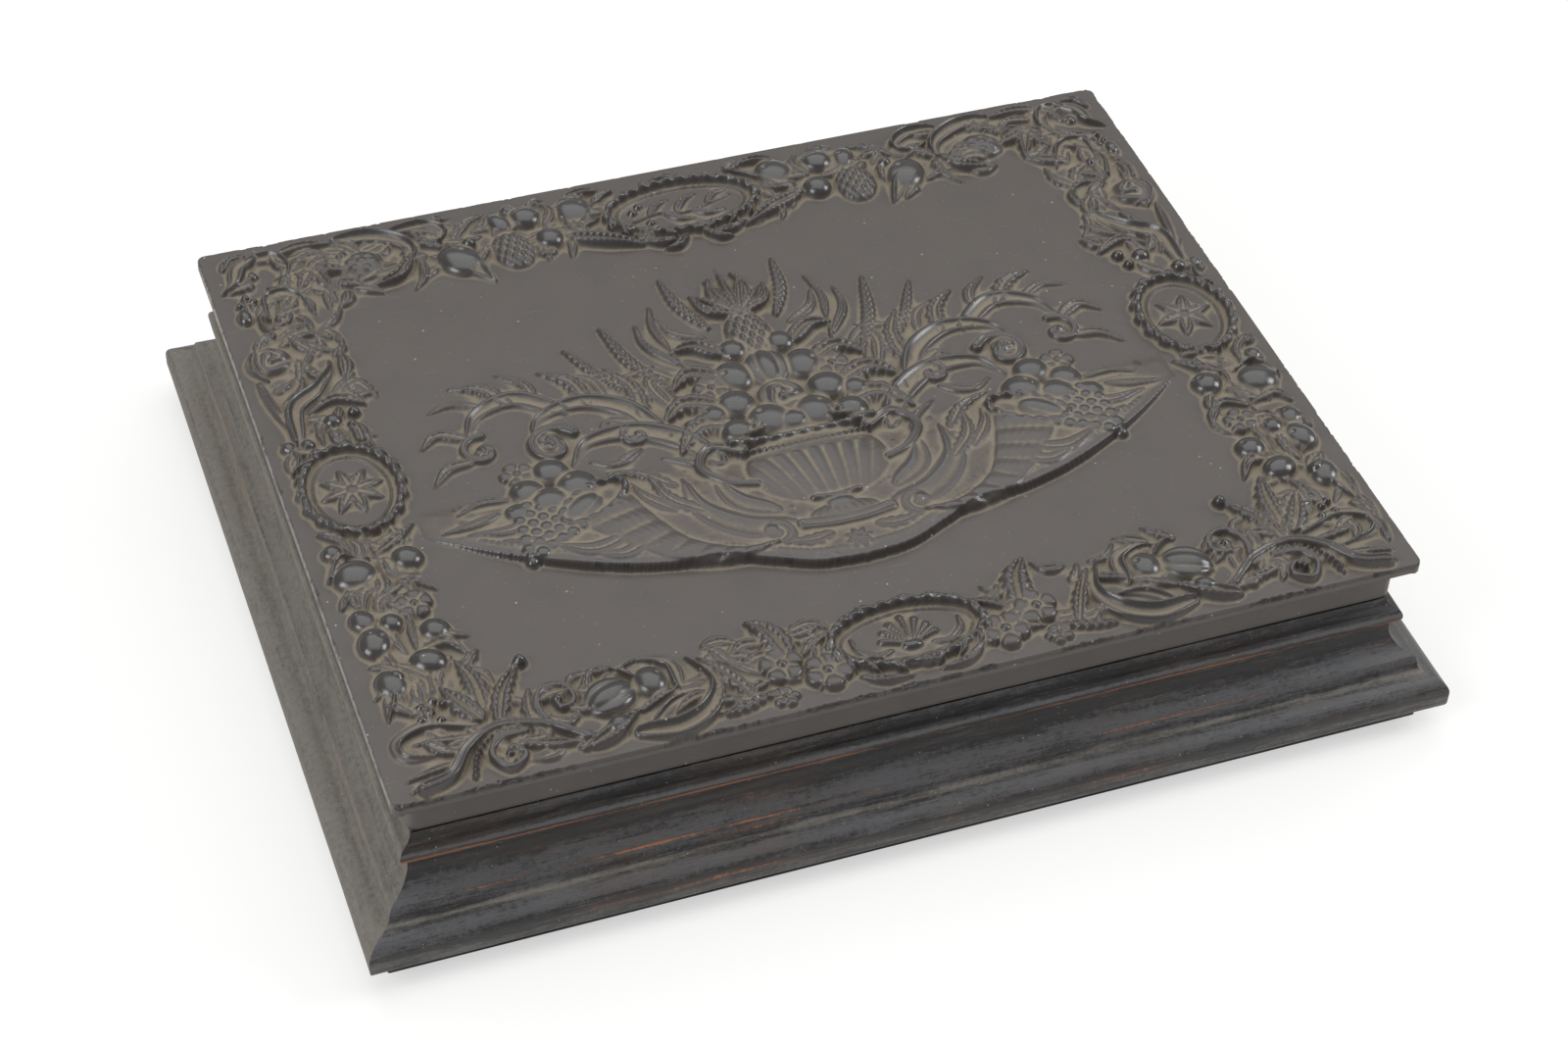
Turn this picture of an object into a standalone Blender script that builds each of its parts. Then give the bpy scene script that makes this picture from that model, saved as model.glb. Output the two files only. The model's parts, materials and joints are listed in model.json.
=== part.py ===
"""Large hinged picture case: a moulded ornamental cover on a wood frame and a moulded wood base.

Sizes are in metres. The origin is the middle of the underside. X runs along the long side,
Y towards the hinged back and Z up. The case is worked out from the picture outwards: packet,
lining, wall, rim and cover. Plan offsets are measured outwards from the edge of the cover.
"""

from math import cos, radians, sin, sqrt

import bmesh
import bpy
import numpy as np
from mathutils import Matrix, Vector, geometry

# Clearances
seat_gap = 0.0003
parting_gap = 0.0005
cut_overrun = 0.0010

# Picture packet: a whole plate, its mat, its glass and the brass preserver that binds them
plate_length = 0.2160
plate_width = 0.1650
plate_thickness = 0.0012
mat_thickness = 0.0006
mat_margin_long = 0.0300
mat_margin_short = 0.0240
glass_thickness = 0.0020
preserver_wall = 0.0005
preserver_lip = 0.0050

# Well in the base
lining_thickness = 0.0012
lining_drop = 0.0010
ledger_width = 0.0060
ledger_height = 0.0065
backing_thickness = 0.0030

# Base moulding, member by member from its top arris down and outwards
wall_thickness = 0.0052
rim_fillet_height = 0.0017
cove_width = 0.0053
cove_height = 0.0064
fillet_batter = 0.0006
fillet_height = 0.0019
quirk_width = 0.0013
quirk_height = 0.0020
ovolo_width = 0.0049
ovolo_height = 0.0040
nose_height = 0.0028
foot_round_width = 0.0019
foot_round_height = 0.0022

# Bottom board
board_thickness = 0.0052
board_reach = 0.0074
board_edge_round = 0.0006

# Lid frame: a bead and a cove outside, a tongue that stands up inside the cover's band
bead_height = 0.0038
bead_depth = 0.0020
lid_cove_height = 0.0024
shoulder_setback = 0.0044
nose_setback = 0.0012
tongue_thickness = 0.0040
tongue_height = 0.0060

# Moulded cover
rim_setback = 0.0031
cover_depth = 0.0135
panel_thickness = 0.0028
flange_corner = 0.0020
flange_edge_round = 0.0006
band_setback = 0.0039
band_wall = 0.0030
band_corner = 0.0022
band_foot_round = 0.0012
band_inner_corner = 0.0010

# Ornament on the cover. Its tables hold shares of the border's width and of the relief's height
border_width = 0.0245
relief_height = 0.0034
ring_half_width = 0.0015
bracket_height = 0.0023
bracket_wall = 0.0005
bracket_fall = 0.0080
bracket_tip = 0.0300

# Velvet pad in the lid
pad_board_thickness = 0.0015
pad_side_gap = 0.0006
pad_crown = 0.0030
pad_edge_height = 0.0080
pad_side_tuck = 0.0008
channel_depth = 0.0009
channel_half_width = 0.0030

# Hinges
hinge_length = 0.0300
hinge_inset_share = 0.28
leaf_reach = 0.0066
leaf_thickness = 0.0009
knuckle_radius = 0.0017
pin_radius = 0.0007
pin_clearance = 0.0002
pivot_setback = 0.0011
screw_head_radius = 0.0012
screw_head_depth = 0.0006
screw_shank_radius = 0.0006
screw_length = 0.0042
screw_inset = 0.0044
screw_end_inset = 0.0032

# Plan sizes
packet_length = plate_length + 2 * (seat_gap + preserver_wall)
packet_width = plate_width + 2 * (seat_gap + preserver_wall)
lining_room = seat_gap + lining_thickness + seat_gap
well_length = packet_length + 2 * lining_room
well_width = packet_width + 2 * lining_room
rim_length = well_length + 2 * wall_thickness
rim_width = well_width + 2 * wall_thickness
cover_length = rim_length + 2 * rim_setback
cover_width = rim_width + 2 * rim_setback

# Heights
base_bottom = board_thickness + seat_gap
base_height = (
    rim_fillet_height + cove_height + fillet_height + quirk_height
    + ovolo_height + nose_height + foot_round_height
)
base_top = base_bottom + base_height
lid_bottom = base_top + parting_gap
lid_shoulder = lid_bottom + bead_height + lid_cove_height
cover_bottom = lid_shoulder + seat_gap
cover_top = cover_bottom + cover_depth
ceiling = cover_top - panel_thickness
pivot_height = (base_top + lid_bottom) / 2
pivot_back = cover_width / 2 - pivot_setback


def clear_scene():
    """Remove the objects that the file opened with."""
    for item in list(bpy.data.objects):
        bpy.data.objects.remove(item, do_unlink=True)


def finish(name, colour, roughness, metallic=0.0):
    """A plain Principled material."""
    material = bpy.data.materials.new(name)
    material.use_nodes = True
    shader = material.node_tree.nodes["Principled BSDF"]
    shader.inputs["Base Color"].default_value = (*colour, 1.0)
    shader.inputs["Roughness"].default_value = roughness
    shader.inputs["Metallic"].default_value = metallic
    material.diffuse_color = (*colour, 1.0)
    return material


def make_piece(name, shape, material, smooth_angle=None):
    """Turn a bmesh into a named object with one material."""
    bmesh.ops.recalc_face_normals(shape, faces=shape.faces)
    mesh = bpy.data.meshes.new(name)
    shape.to_mesh(mesh)
    shape.free()
    mesh.materials.append(material)
    if smooth_angle is not None:
        mesh.shade_smooth()
        mesh.set_sharp_from_angle(angle=radians(smooth_angle))
    piece = bpy.data.objects.new(name, mesh)
    bpy.context.scene.collection.objects.link(piece)
    return piece


def join_or_cut(piece, tool, operation):
    """Apply one Boolean to the piece and drop the tool."""
    modifier = piece.modifiers.new(operation.lower(), "BOOLEAN")
    modifier.object = tool
    modifier.operation = operation
    modifier.solver = "EXACT"
    graph = bpy.context.evaluated_depsgraph_get()
    mesh = bpy.data.meshes.new_from_object(piece.evaluated_get(graph))
    piece.modifiers.clear()
    piece.data = mesh
    mesh.name = piece.name
    bpy.data.objects.remove(tool, do_unlink=True)


def box(low, high):
    """A bmesh box between two corners."""
    shape = bmesh.new()
    bmesh.ops.create_cube(shape, size=1.0)
    low, high = Vector(low), Vector(high)
    for vertex in shape.verts:
        vertex.co = Vector(
            high[k] if vertex.co[k] > 0 else low[k] for k in range(3)
        )
    return shape


def arc(centre, radii, start, end, steps):
    """Points of an elliptical arc in a section, angles in degrees, both ends included."""
    turn = np.radians(np.linspace(start, end, steps + 1))
    return [(centre[0] + radii[0] * cos(t), centre[1] + radii[1] * sin(t)) for t in turn]


def rounded_rectangle(length, width, radius, steps):
    """Plan points of a rectangle with round corners, anticlockwise from the right side."""
    points = []
    for quarter, (side_x, side_y) in enumerate(((1, 1), (-1, 1), (-1, -1), (1, -1))):
        centre = (side_x * (length / 2 - radius), side_y * (width / 2 - radius))
        points += arc(centre, (radius, radius), 90 * quarter, 90 * quarter + 90, steps)
    return points


def skin_rings(shape, rings):
    """Join rings of equally many points with quads, and return the first and last rings."""
    loops = [[shape.verts.new(point) for point in ring] for ring in rings]
    for below, above in zip(loops, loops[1:]):
        for k, vertex in enumerate(below):
            after = (k + 1) % len(below)
            shape.faces.new((vertex, below[after], above[after], above[k]))
    return loops[0], loops[-1]


def turned(profile, steps, place, axis="Z"):
    """A solid turned about an axis through place. The profile is (radius, distance) pairs
    that start and end on the axis."""
    shape = bmesh.new()
    poles = [shape.verts.new((0, 0, profile[k][1])) for k in (0, -1)]
    around = [(cos(t), sin(t)) for t in np.radians(np.arange(steps) * 360 / steps)]
    rings = [[(r * c, r * s, z) for c, s in around] for r, z in profile[1:-1]]
    for pole, ring in zip(poles, skin_rings(shape, rings)):
        for k, vertex in enumerate(ring):
            shape.faces.new((pole, vertex, ring[(k + 1) % steps]))
    if axis == "X":
        bmesh.ops.rotate(shape, verts=shape.verts, matrix=Matrix.Rotation(radians(90), 3, "Y"))
    bmesh.ops.translate(shape, verts=shape.verts, vec=place)
    return shape


def mitred_length(section, inner_length, inner_width, side):
    """One side of a mitred frame. The section's first value is the distance outwards from the
    frame's inner face, and the ends are cut at 45 degrees, half a gap short of the mitre."""
    mitre_gap = seat_gap / sqrt(2)
    along, across = (inner_length, inner_width) if side in ("front", "back") else (
        inner_width, inner_length)
    turn = {"front": 0, "right": 90, "back": 180, "left": 270}[side]
    shape = bmesh.new()
    ends = [[(way * (along / 2 + out - mitre_gap), -across / 2 - out, height)
             for out, height in section] for way in (-1, 1)]
    first, last = skin_rings(shape, ends)
    shape.faces.new(first)
    shape.faces.new(last)
    bmesh.ops.rotate(shape, verts=shape.verts, matrix=Matrix.Rotation(radians(turn), 3, "Z"))
    return shape


def base_section():
    """Base moulding: flat rim, cove, fillet, quirk, ovolo, upright nose and rounded foot."""
    out, height = wall_thickness, base_top
    points = [(0, base_bottom), (0, height), (out, height)]
    height -= rim_fillet_height
    cove_turn = 78
    radii = (cove_width / (1 - cos(radians(cove_turn))), cove_height / sin(radians(cove_turn)))
    points += arc((out + radii[0], height), radii, 180, 180 + cove_turn, 7)
    out, height = out + cove_width + fillet_batter, height - cove_height - fillet_height
    points += arc((out + quirk_width, height), (quirk_width, quirk_height), 180, 270, 3)
    out, height = out + quirk_width, height - quirk_height
    points += arc((out, height - ovolo_height), (ovolo_width, ovolo_height), 80, 0, 5)
    out, height = out + ovolo_width, height - ovolo_height - nose_height
    centre = (out - foot_round_width, height)
    points += arc(centre, (foot_round_width, foot_round_height), 0, -90, 4)
    return points


def lid_section(tongue_face):
    """Lid frame: bead below, cove above, shoulder under the band and tongue inside it.
    Distances are outwards from the frame's inner face, which lies tongue_face inside the
    cover's edge."""
    nose = tongue_face - nose_setback
    shoulder = tongue_face - shoulder_setback
    bead_turn = 55
    bead_middle = lid_bottom + bead_height / 2
    radii = (bead_depth, bead_height / 2 / sin(radians(bead_turn)))
    bead = arc((nose - bead_depth, bead_middle), radii, -bead_turn, bead_turn, 6)
    cove_out = bead[-1][0]
    cove = arc((cove_out, lid_shoulder), (cove_out - shoulder, lid_cove_height), 270, 180, 4)
    return [(0, lid_bottom), *bead, *cove[1:],
            (tongue_thickness, lid_shoulder),
            (tongue_thickness, lid_shoulder + tongue_height),
            (0, lid_shoulder + tongue_height)]


def ellipse(centre, radii, turn, steps):
    """Points of a turned ellipse, in order."""
    angles = np.arange(steps) * 2 * np.pi / steps
    along, across = radii[0] * np.cos(angles), radii[1] * np.sin(angles)
    c, s = cos(radians(turn)), sin(radians(turn))
    return np.stack([centre[0] + c * along - s * across, centre[1] + s * along + c * across], 1)


def smooth_curve(knots, steps):
    """Even points on a smooth curve through a few knots. Each stretch is a cubic that leaves
    and meets its knots in line with their neighbours."""
    knots = np.array(knots, float)
    knots = np.concatenate([2 * knots[:1] - knots[1:2], knots, 2 * knots[-1:] - knots[-2:-1]])
    t = np.linspace(0, 1, 8, endpoint=False)[:, None]
    parts = []
    for before, here, after, later in zip(knots, knots[1:], knots[2:], knots[3:]):
        leave, meet = (after - before) / 2, (later - here) / 2
        parts.append(here * (2 * t ** 3 - 3 * t ** 2 + 1) + leave * (t ** 3 - 2 * t ** 2 + t)
                     + after * (3 * t ** 2 - 2 * t ** 3) + meet * (t ** 3 - t ** 2))
    path = np.concatenate(parts + [knots[-2:-1]])
    travel = np.concatenate([[0], np.cumsum(np.linalg.norm(np.diff(path, axis=0), axis=1))])
    even = np.linspace(0, travel[-1], steps + 1)
    return np.stack([np.interp(even, travel, path[:, k]) for k in (0, 1)], 1)


def distance(points, path):
    """Distance of each point from the nearest stretch of a path."""
    nearest = np.full(len(points), cover_length)
    for here, after in zip(path, path[1:]):
        along = np.clip((points - here) @ (after - here) / np.dot(after - here, after - here), 0, 1)
        away = np.linalg.norm(points - here - along[:, None] * (after - here), axis=1)
        nearest = np.minimum(nearest, away)
    return nearest


def inside(points, loop):
    """Whether each point lies in a closed loop: a line to its right crosses the loop an odd
    number of times."""
    odd = np.zeros(len(points), bool)
    for here, after in zip(loop, np.roll(loop, -1, 0)):
        straddles = (here[1] > points[:, 1]) != (after[1] > points[:, 1])
        rise = after[1] - here[1] if after[1] != here[1] else 1
        crossing = here[0] + (points[:, 1] - here[1]) * (after[0] - here[0]) / rise
        odd ^= straddles & (points[:, 0] < crossing)
    return odd


class Fruit:
    """A domed motif: half an ellipsoid lying on the field. A small one has fewer faces."""

    def __init__(self, centre, radii, turn, height):
        self.centre, self.radii, self.turn, self.height = centre, radii, turn, height
        small = max(radii) < small_fruit_share * border_width
        self.loops = [ellipse(centre, radii, turn, 6 if small else 8)]
        if not small:
            self.loops.append(ellipse(centre, [radius * 0.7 for radius in radii], turn, 8))
        self.crest = np.array([centre])

    def lift(self, points):
        """Height of an ellipsoid: root of one less the squared distance from its middle."""
        away = points - np.array(self.centre)
        c, s = cos(radians(self.turn)), sin(radians(self.turn))
        along = (away[:, 0] * c + away[:, 1] * s) / self.radii[0]
        across = (away[:, 1] * c - away[:, 0] * s) / self.radii[1]
        return self.height * np.sqrt(np.maximum(0, 1 - along ** 2 - across ** 2))


class Ring:
    """An oval ring with a half round section."""

    def __init__(self, centre, radii, half_width, height, steps=28):
        self.centre, self.radii, self.half_width, self.height = centre, radii, half_width, height
        self.loops = [ellipse(centre, [r + k * half_width for r in radii], 0, steps)
                      for k in (-1, 0, 1)]
        self.crest = np.zeros((0, 2))

    def lift(self, points):
        """Half round section across the distance from the ring's middle line."""
        away = points - np.array(self.centre)
        angle = np.arctan2(away[:, 1] / self.radii[1], away[:, 0] / self.radii[0])
        middle = np.stack([self.radii[0] * np.cos(angle), self.radii[1] * np.sin(angle)], 1)
        share = np.linalg.norm(away - middle, axis=1) / self.half_width
        return self.height * np.sqrt(np.maximum(0, 1 - share ** 2))


class Leaf:
    """A motif along a curve with a crest along its middle. A leaf is pointed at both ends, and
    a horn widens from its tip to its mouth."""

    def __init__(self, knots, half_width, height, horn=False):
        steps = max(4, min(len(knots) + 1, 7))
        path, self.height = smooth_curve(knots, steps), height
        share = np.linspace(0, 1, steps + 1)
        form = share if horn else np.sin(np.pi * share ** 0.8) ** 0.7
        ahead = np.gradient(path, axis=0)
        ahead /= np.linalg.norm(ahead, axis=1)[:, None]
        side = np.stack([-ahead[:, 1], ahead[:, 0]], 1) * half_width * form[:, None]
        last = len(share) if horn else -1
        ends = [path[:1]] if horn else [path[:1], path[-1:]]
        left, right = (path + side)[1:last], (path - side)[1:last]
        self.loops = [np.concatenate([ends[0], right, *ends[1:], left[::-1]])]
        self.crest = path[1:-1]

    def lift(self, points):
        """A ridge: the distance from the outline as a share of that and the distance from the
        crest together."""
        loop = self.loops[0]
        edge = distance(points, np.concatenate([loop, loop[:1]]))
        edge = np.where(inside(points, loop) & (edge > cut_overrun / 100), edge, 0)
        crest = distance(points, self.crest)
        return self.height * edge / (edge + crest + cut_overrun / 1000)


class Bracket:
    """The ground of the centre: it stands clear of the field along its lower edge and falls
    away towards its tips and its top."""

    def __init__(self):
        edge = np.array(bracket_edge_shares) * centre_scale()
        self.edge = np.concatenate([edge[:0:-1] * (-1, 1), edge])
        top = np.stack([self.edge[:, 0], np.full(len(self.edge), -bracket_fall)], 1)
        top = np.maximum(top, self.edge + (0, bracket_fall))
        wall = self.edge[1:-1] + (0, bracket_wall)
        self.loops = [np.concatenate([self.edge, top[::-1]]),
                      np.concatenate([wall, (wall * 0.6 + top[1:-1] * 0.4)[::-1]])]
        self.crest = wall * 0.25 + top[1:-1] * 0.75

    def lift(self, points):
        """Full height at the edge, less the further above it a point lies, and less within
        the tip's length of either end."""
        edge = np.interp(points[:, 0], self.edge[:, 0], self.edge[:, 1])
        above, reach = points[:, 1] - edge, self.edge[-1, 0]
        fade = np.clip(1 - above / np.maximum(-bracket_fall - edge, bracket_fall), 0, 1)
        tip = np.clip((reach - np.abs(points[:, 0])) / bracket_tip, 0, 1) ** 0.6
        rise = np.clip(above / bracket_wall, 0, 1) * np.clip(3 * fade, 0, 1) ** 2
        return bracket_height * tip * fade * (2 - fade) * rise


# Where each motif lies, counted in widths of the border on a cover of plan_shares. Border places
# lie to the right and forwards of the back left corner, and centre places from the middle. Both
# give the motifs of one half. A leaf's row is its half width, its height and its curve; a
# fruit's row is its place, its radii, its turn in degrees and its height.
plan_shares = np.array([9.706, 7.624])
small_fruit_share = 0.16
oval_shares = [((0, 1), 0.68, (0.78, 0.39)), ((0, -1), 0.59, (0.71, 0.37)),
               ((-1, 0), 0.64, (0.44, 0.57)), ((1, 0), 0.64, (0.44, 0.57))]
oval_height_share = 0.80
bracket_edge_shares = [(0, -2.24), (0.45, -2.20), (0.86, -2.02), (1.22, -1.88), (1.71, -1.82),
                       (2.24, -1.67), (2.78, -1.43), (3.27, -1.13), (3.76, -0.76)]
border_leaf_shares = [
    (0.12, 0.85, (0.51, 0.25), (0.35, 0.39), (0.27, 0.57), (0.11, 0.69)),
    (0.10, 0.80, (0.47, 0.26), (0.69, 0.29), (0.80, 0.49), (0.69, 0.77)),
    (0.07, 0.60, (0.19, 0.34), (0.29, 0.20), (0.47, 0.16)),
    (0.09, 0.62, (0.71, 0.26), (0.98, 0.20), (1.35, 0.22)),
    (0.08, 0.50, (0.84, 0.36), (1.12, 0.33), (1.29, 0.47)),
    (0.11, 0.95, (1.35, 0.22), (1.69, 0.25), (1.98, 0.42), (2.05, 0.63), (1.90, 0.86)),
    (0.10, 0.80, (2.04, 0.67), (1.82, 0.93), (1.52, 1.01)),
    (0.07, 0.50, (2.11, 0.71), (2.08, 0.98), (1.95, 1.17)),
    (0.08, 0.90, (1.94, 0.22), (2.24, 0.24), (2.42, 0.38), (2.33, 0.51), (2.14, 0.42)),
    (0.08, 0.55, (2.50, 0.51), (2.69, 0.31), (2.91, 0.22)),
    (0.12, 0.85, (2.41, 0.82), (2.61, 1.06), (2.74, 1.27)),
    (0.08, 0.55, (3.43, 0.59), (3.54, 0.39), (3.46, 0.20)),
    (0.11, 0.85, (3.58, 0.83), (3.92, 0.98), (4.32, 1.18)),
    (0.07, 0.60, (3.59, 0.67), (3.80, 0.70), (4.02, 0.62)),
    (0.07, 0.70, (3.67, 0.25), (3.92, 0.19), (4.18, 0.22)),
    (0.11, 0.85, (0.49, 1.18), (0.54, 0.91), (0.76, 0.92), (0.92, 1.23)),
    (0.08, 0.75, (0.21, 1.63), (0.16, 1.86), (0.26, 2.08)),
    (0.07, 0.50, (0.16, 2.04), (0.20, 2.41), (0.31, 2.94)),
    (0.11, 0.95, (0.33, 2.98), (0.39, 2.56), (0.65, 2.35), (0.84, 2.10), (0.88, 1.92)),
    (0.08, 0.65, (1.06, 2.64), (0.78, 2.52), (0.47, 2.67)),
    (0.07, 0.60, (0.19, 4.24), (0.35, 4.39), (0.42, 4.59)),
    (0.08, 0.65, (0.63, 4.67), (0.86, 4.54), (1.06, 4.36)),
    (0.07, 0.55, (0.16, 5.26), (0.29, 5.11), (0.55, 5.18)),
    (0.07, 0.60, (0.60, 5.20), (0.84, 5.09), (1.04, 5.25)),
    (0.08, 0.60, (0.69, 5.96), (0.94, 5.92), (1.10, 6.12)),
    (0.08, 0.70, (0.34, 6.33), (0.28, 6.51), (0.22, 6.68)),
    (0.15, 0.70, (1.00, 6.91), (0.85, 6.67), (0.73, 6.42)),
    (0.14, 0.62, (1.04, 6.78), (1.03, 6.45), (0.95, 6.14)),
    (0.12, 0.72, (1.12, 6.98), (1.24, 6.65), (1.48, 6.33)),
    (0.08, 0.62, (0.90, 6.94), (0.51, 6.82), (0.23, 6.94), (0.27, 7.13), (0.61, 7.20)),
    (0.07, 0.50, (0.84, 7.06), (0.57, 7.03), (0.34, 7.00)),
    (0.08, 0.95, (0.32, 7.53), (0.58, 7.44), (0.78, 7.19), (1.08, 7.04), (1.49, 7.13), (1.80, 7.39)),
    (0.07, 0.60, (1.24, 7.28), (1.51, 7.36), (1.82, 7.41)),
    (0.11, 0.55, (1.49, 7.27), (1.40, 6.94), (1.47, 6.65)),
    (0.10, 0.80, (2.73, 7.04), (2.70, 6.76), (2.45, 6.64), (2.24, 6.70)),
    (0.11, 0.80, (1.78, 7.49), (2.06, 7.37), (2.33, 7.19)),
    (0.12, 1.00, (2.24, 7.41), (2.61, 7.45), (2.92, 7.32), (3.04, 7.06), (2.87, 6.70)),
    (0.07, 0.70, (2.41, 7.37), (2.63, 7.20), (2.88, 7.14)),
    (0.07, 0.60, (3.00, 7.49), (3.29, 7.43), (3.55, 7.35)),
    (0.10, 0.60, (3.33, 7.39), (3.16, 7.04), (2.98, 6.75)),
    (0.17, 0.78, (3.75, 7.00), (3.67, 6.71), (3.51, 6.48)),
    (0.07, 0.55, (3.86, 7.02), (4.06, 6.88), (4.29, 6.84)),
]
border_fruit_shares = [
    ((1.53, 0.64), (0.24, 0.20), 15, 0.85), ((1.36, 0.50), (0.10, 0.06), 40, 0.90),
    ((2.47, 0.87), (0.21, 0.26), 35, 0.95), ((3.03, 0.87), (0.22, 0.29), 8, 0.95),
    ((3.00, 0.43), (0.13, 0.18), 20, 0.80), ((3.27, 0.41), (0.18, 0.17), 0, 0.95),
    ((3.42, 0.82), (0.16, 0.16), 0, 1.00), ((3.78, 0.44), (0.20, 0.21), 0, 0.85),
    ((0.25, 1.10), (0.08, 0.12), 0, 0.70), ((0.35, 1.81), (0.20, 0.20), 0, 0.90),
    ((0.69, 2.83), (0.10, 0.10), 0, 0.85), ((0.26, 4.54), (0.11, 0.11), 0, 0.75),
    ((0.38, 4.88), (0.22, 0.20), 10, 1.00), ((0.88, 4.80), (0.16, 0.16), 0, 0.90),
    ((0.31, 5.45), (0.13, 0.15), 20, 0.72), ((0.33, 5.75), (0.16, 0.19), -15, 0.92),
    ((0.54, 5.56), (0.12, 0.12), 0, 0.85), ((0.79, 5.39), (0.18, 0.18), 10, 0.85),
    ((0.88, 5.76), (0.16, 0.15), 0, 0.92), ((0.73, 6.11), (0.18, 0.16), -20, 0.98),
    ((0.35, 6.28), (0.15, 0.19), 15, 0.85), ((2.11, 6.99), (0.26, 0.22), 22, 1.00),
    ((2.50, 6.91), (0.16, 0.18), 0, 0.88), ((2.08, 7.33), (0.13, 0.10), 30, 0.95),
    ((3.65, 7.09), (0.22, 0.22), 20, 0.92), ((4.02, 7.27), (0.24, 0.23), -15, 0.88),
    ((3.57, 7.44), (0.14, 0.12), 0, 0.60),
]
centre_leaf_shares = [
    (0.35, 0.92, (0.71, -1.86), (1.10, -1.88), (1.55, -1.69), (1.86, -1.35), (2.12, -0.88)),
    (0.17, 0.50, (0.53, -1.67), (0.92, -1.57), (1.24, -1.22), (1.29, -0.73)),
    (0.14, 0.46, (0.61, -1.43), (0.90, -1.20), (1.02, -0.78)),
    (0.11, 0.48, (1.22, -1.27), (1.49, -0.98), (1.57, -0.57)),
    (0.10, 0.42, (1.35, -0.86), (1.59, -0.57), (1.90, -0.43)),
    (0.09, 0.44, (1.47, -1.18), (1.69, -0.90), (1.76, -0.63)),
    (0.16, 0.62, (0.86, -0.57), (1.10, -0.20), (1.51, 0.04), (1.96, 0.02), (2.18, -0.24)),
    (0.14, 0.60, (1.22, -0.12), (1.47, 0.35), (1.88, 0.57), (2.31, 0.47), (2.45, 0.18)),
    (0.13, 0.55, (2.04, 0.53), (2.45, 0.82), (2.86, 0.69), (3.04, 0.35)),
    (0.12, 0.46, (2.49, 0.71), (2.69, 1.02), (3.00, 1.14)),
    (0.12, 0.46, (1.80, 0.49), (1.88, 0.86), (2.14, 1.10)),
    (0.13, 0.48, (1.35, 0.16), (1.33, 0.61), (1.51, 0.98)),
    (0.10, 0.42, (3.00, 0.37), (3.27, 0.51), (3.47, 0.37)),
    (0.09, 0.40, (3.02, 0.08), (3.29, 0.06), (3.49, -0.14)),
    (0.09, 0.50, (0.98, 0.49), (1.22, 0.98), (1.37, 1.55)),
    (0.08, 0.48, (1.18, 0.41), (1.53, 0.82), (1.80, 1.35)),
    (0.08, 0.50, (0.35, 1.22), (0.53, 1.63), (0.60, 2.08)),
    (0.17, 0.64, (0.57, -0.16), (0.90, -0.12), (1.18, -0.43)),
    (0.16, 0.70, (0.61, 0.12), (0.94, 0.23), (1.20, 0.04)),
    (0.15, 0.72, (0.45, 0.49), (0.76, 0.61), (0.98, 0.45)),
    (0.12, 0.74, (0.33, 0.78), (0.57, 0.98), (0.84, 0.98)),
    (0.10, 0.86, (0.20, -0.12), (0.41, -0.33), (0.67, -0.37)),
    (0.08, 0.70, (0.12, 1.35), (0.33, 1.51), (0.38, 1.76)),
    (0.08, 0.80, (0.63, -0.57), (0.92, -0.45), (1.08, -0.69), (0.90, -0.96), (0.65, -1.06)),
    (0.09, 0.86, (-0.42, -1.71), (-0.20, -1.76), (0.00, -1.77), (0.20, -1.76), (0.42, -1.71)),
    (0.11, 0.62, (1.96, -1.35), (2.33, -1.44), (2.69, -1.27)),
    (0.10, 0.60, (1.80, -1.43), (2.08, -1.57), (2.37, -1.49)),
    (0.11, 0.58, (2.37, -1.10), (2.73, -1.20), (3.08, -1.06)),
    (0.09, 0.50, (2.69, -0.90), (3.02, -0.96), (3.37, -0.88)),
    (0.08, 0.46, (3.02, -0.69), (3.29, -0.78), (3.59, -0.79)),
    (0.10, 0.55, (0.20, -1.89), (0.45, -1.93), (0.71, -1.87)),
]
centre_fruit_shares = [
    ((0.00, -0.92), (0.69, 0.55), 0, 0.95), ((0.00, -1.54), (0.15, 0.13), 0, 0.86),
    ((0.00, -1.65), (0.35, 0.14), 180, 0.80), ((0.22, -0.22), (0.24, 0.22), 20, 0.98),
    ((0.57, -0.29), (0.18, 0.17), 0, 0.90), ((0.47, 0.09), (0.20, 0.20), 0, 0.92),
    ((0.71, -0.02), (0.15, 0.14), 0, 0.78), ((0.35, 0.47), (0.20, 0.22), -20, 0.86),
    ((0.61, 0.38), (0.19, 0.19), 10, 0.80), ((0.24, 0.83), (0.16, 0.16), 0, 0.82),
    ((2.69, -0.49), (0.18, 0.17), 0, 0.80), ((2.42, -0.29), (0.19, 0.18), 0, 0.84),
    ((2.24, -0.56), (0.21, 0.23), 30, 1.00), ((2.52, -0.68), (0.20, 0.19), 0, 0.98),
    ((2.29, -0.87), (0.26, 0.21), -40, 1.00), ((2.73, -0.23), (0.18, 0.18), 0, 0.58),
    ((2.84, -0.75), (0.15, 0.14), 0, 0.70), ((2.31, 0.10), (0.15, 0.15), 0, 0.74),
]
heart_fruit_shares = [
    ((0.00, 0.07), (0.25, 0.25), 0, 1.00), ((0.00, 0.51), (0.27, 0.24), 90, 0.95),
    ((0.00, 1.04), (0.24, 0.35), 0, 0.92), ((-0.02, -0.30), (0.19, 0.16), 0, 0.95),
]


def border_place(share, side):
    """A place in the border, on the left half for side -1 and mirrored for side 1. Within the
    border's width of an edge it keeps to that edge, and between it follows the side."""
    length, width = plan_shares
    right = np.interp(share[0], (0, 1, length / 2), (0, border_width, cover_length / 2))
    forwards = np.interp(share[1], (0, 1, width - 1, width),
                         (0, border_width, cover_width - border_width, cover_width))
    return np.array([side * (cover_length / 2 - right), cover_width / 2 - forwards])


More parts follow.
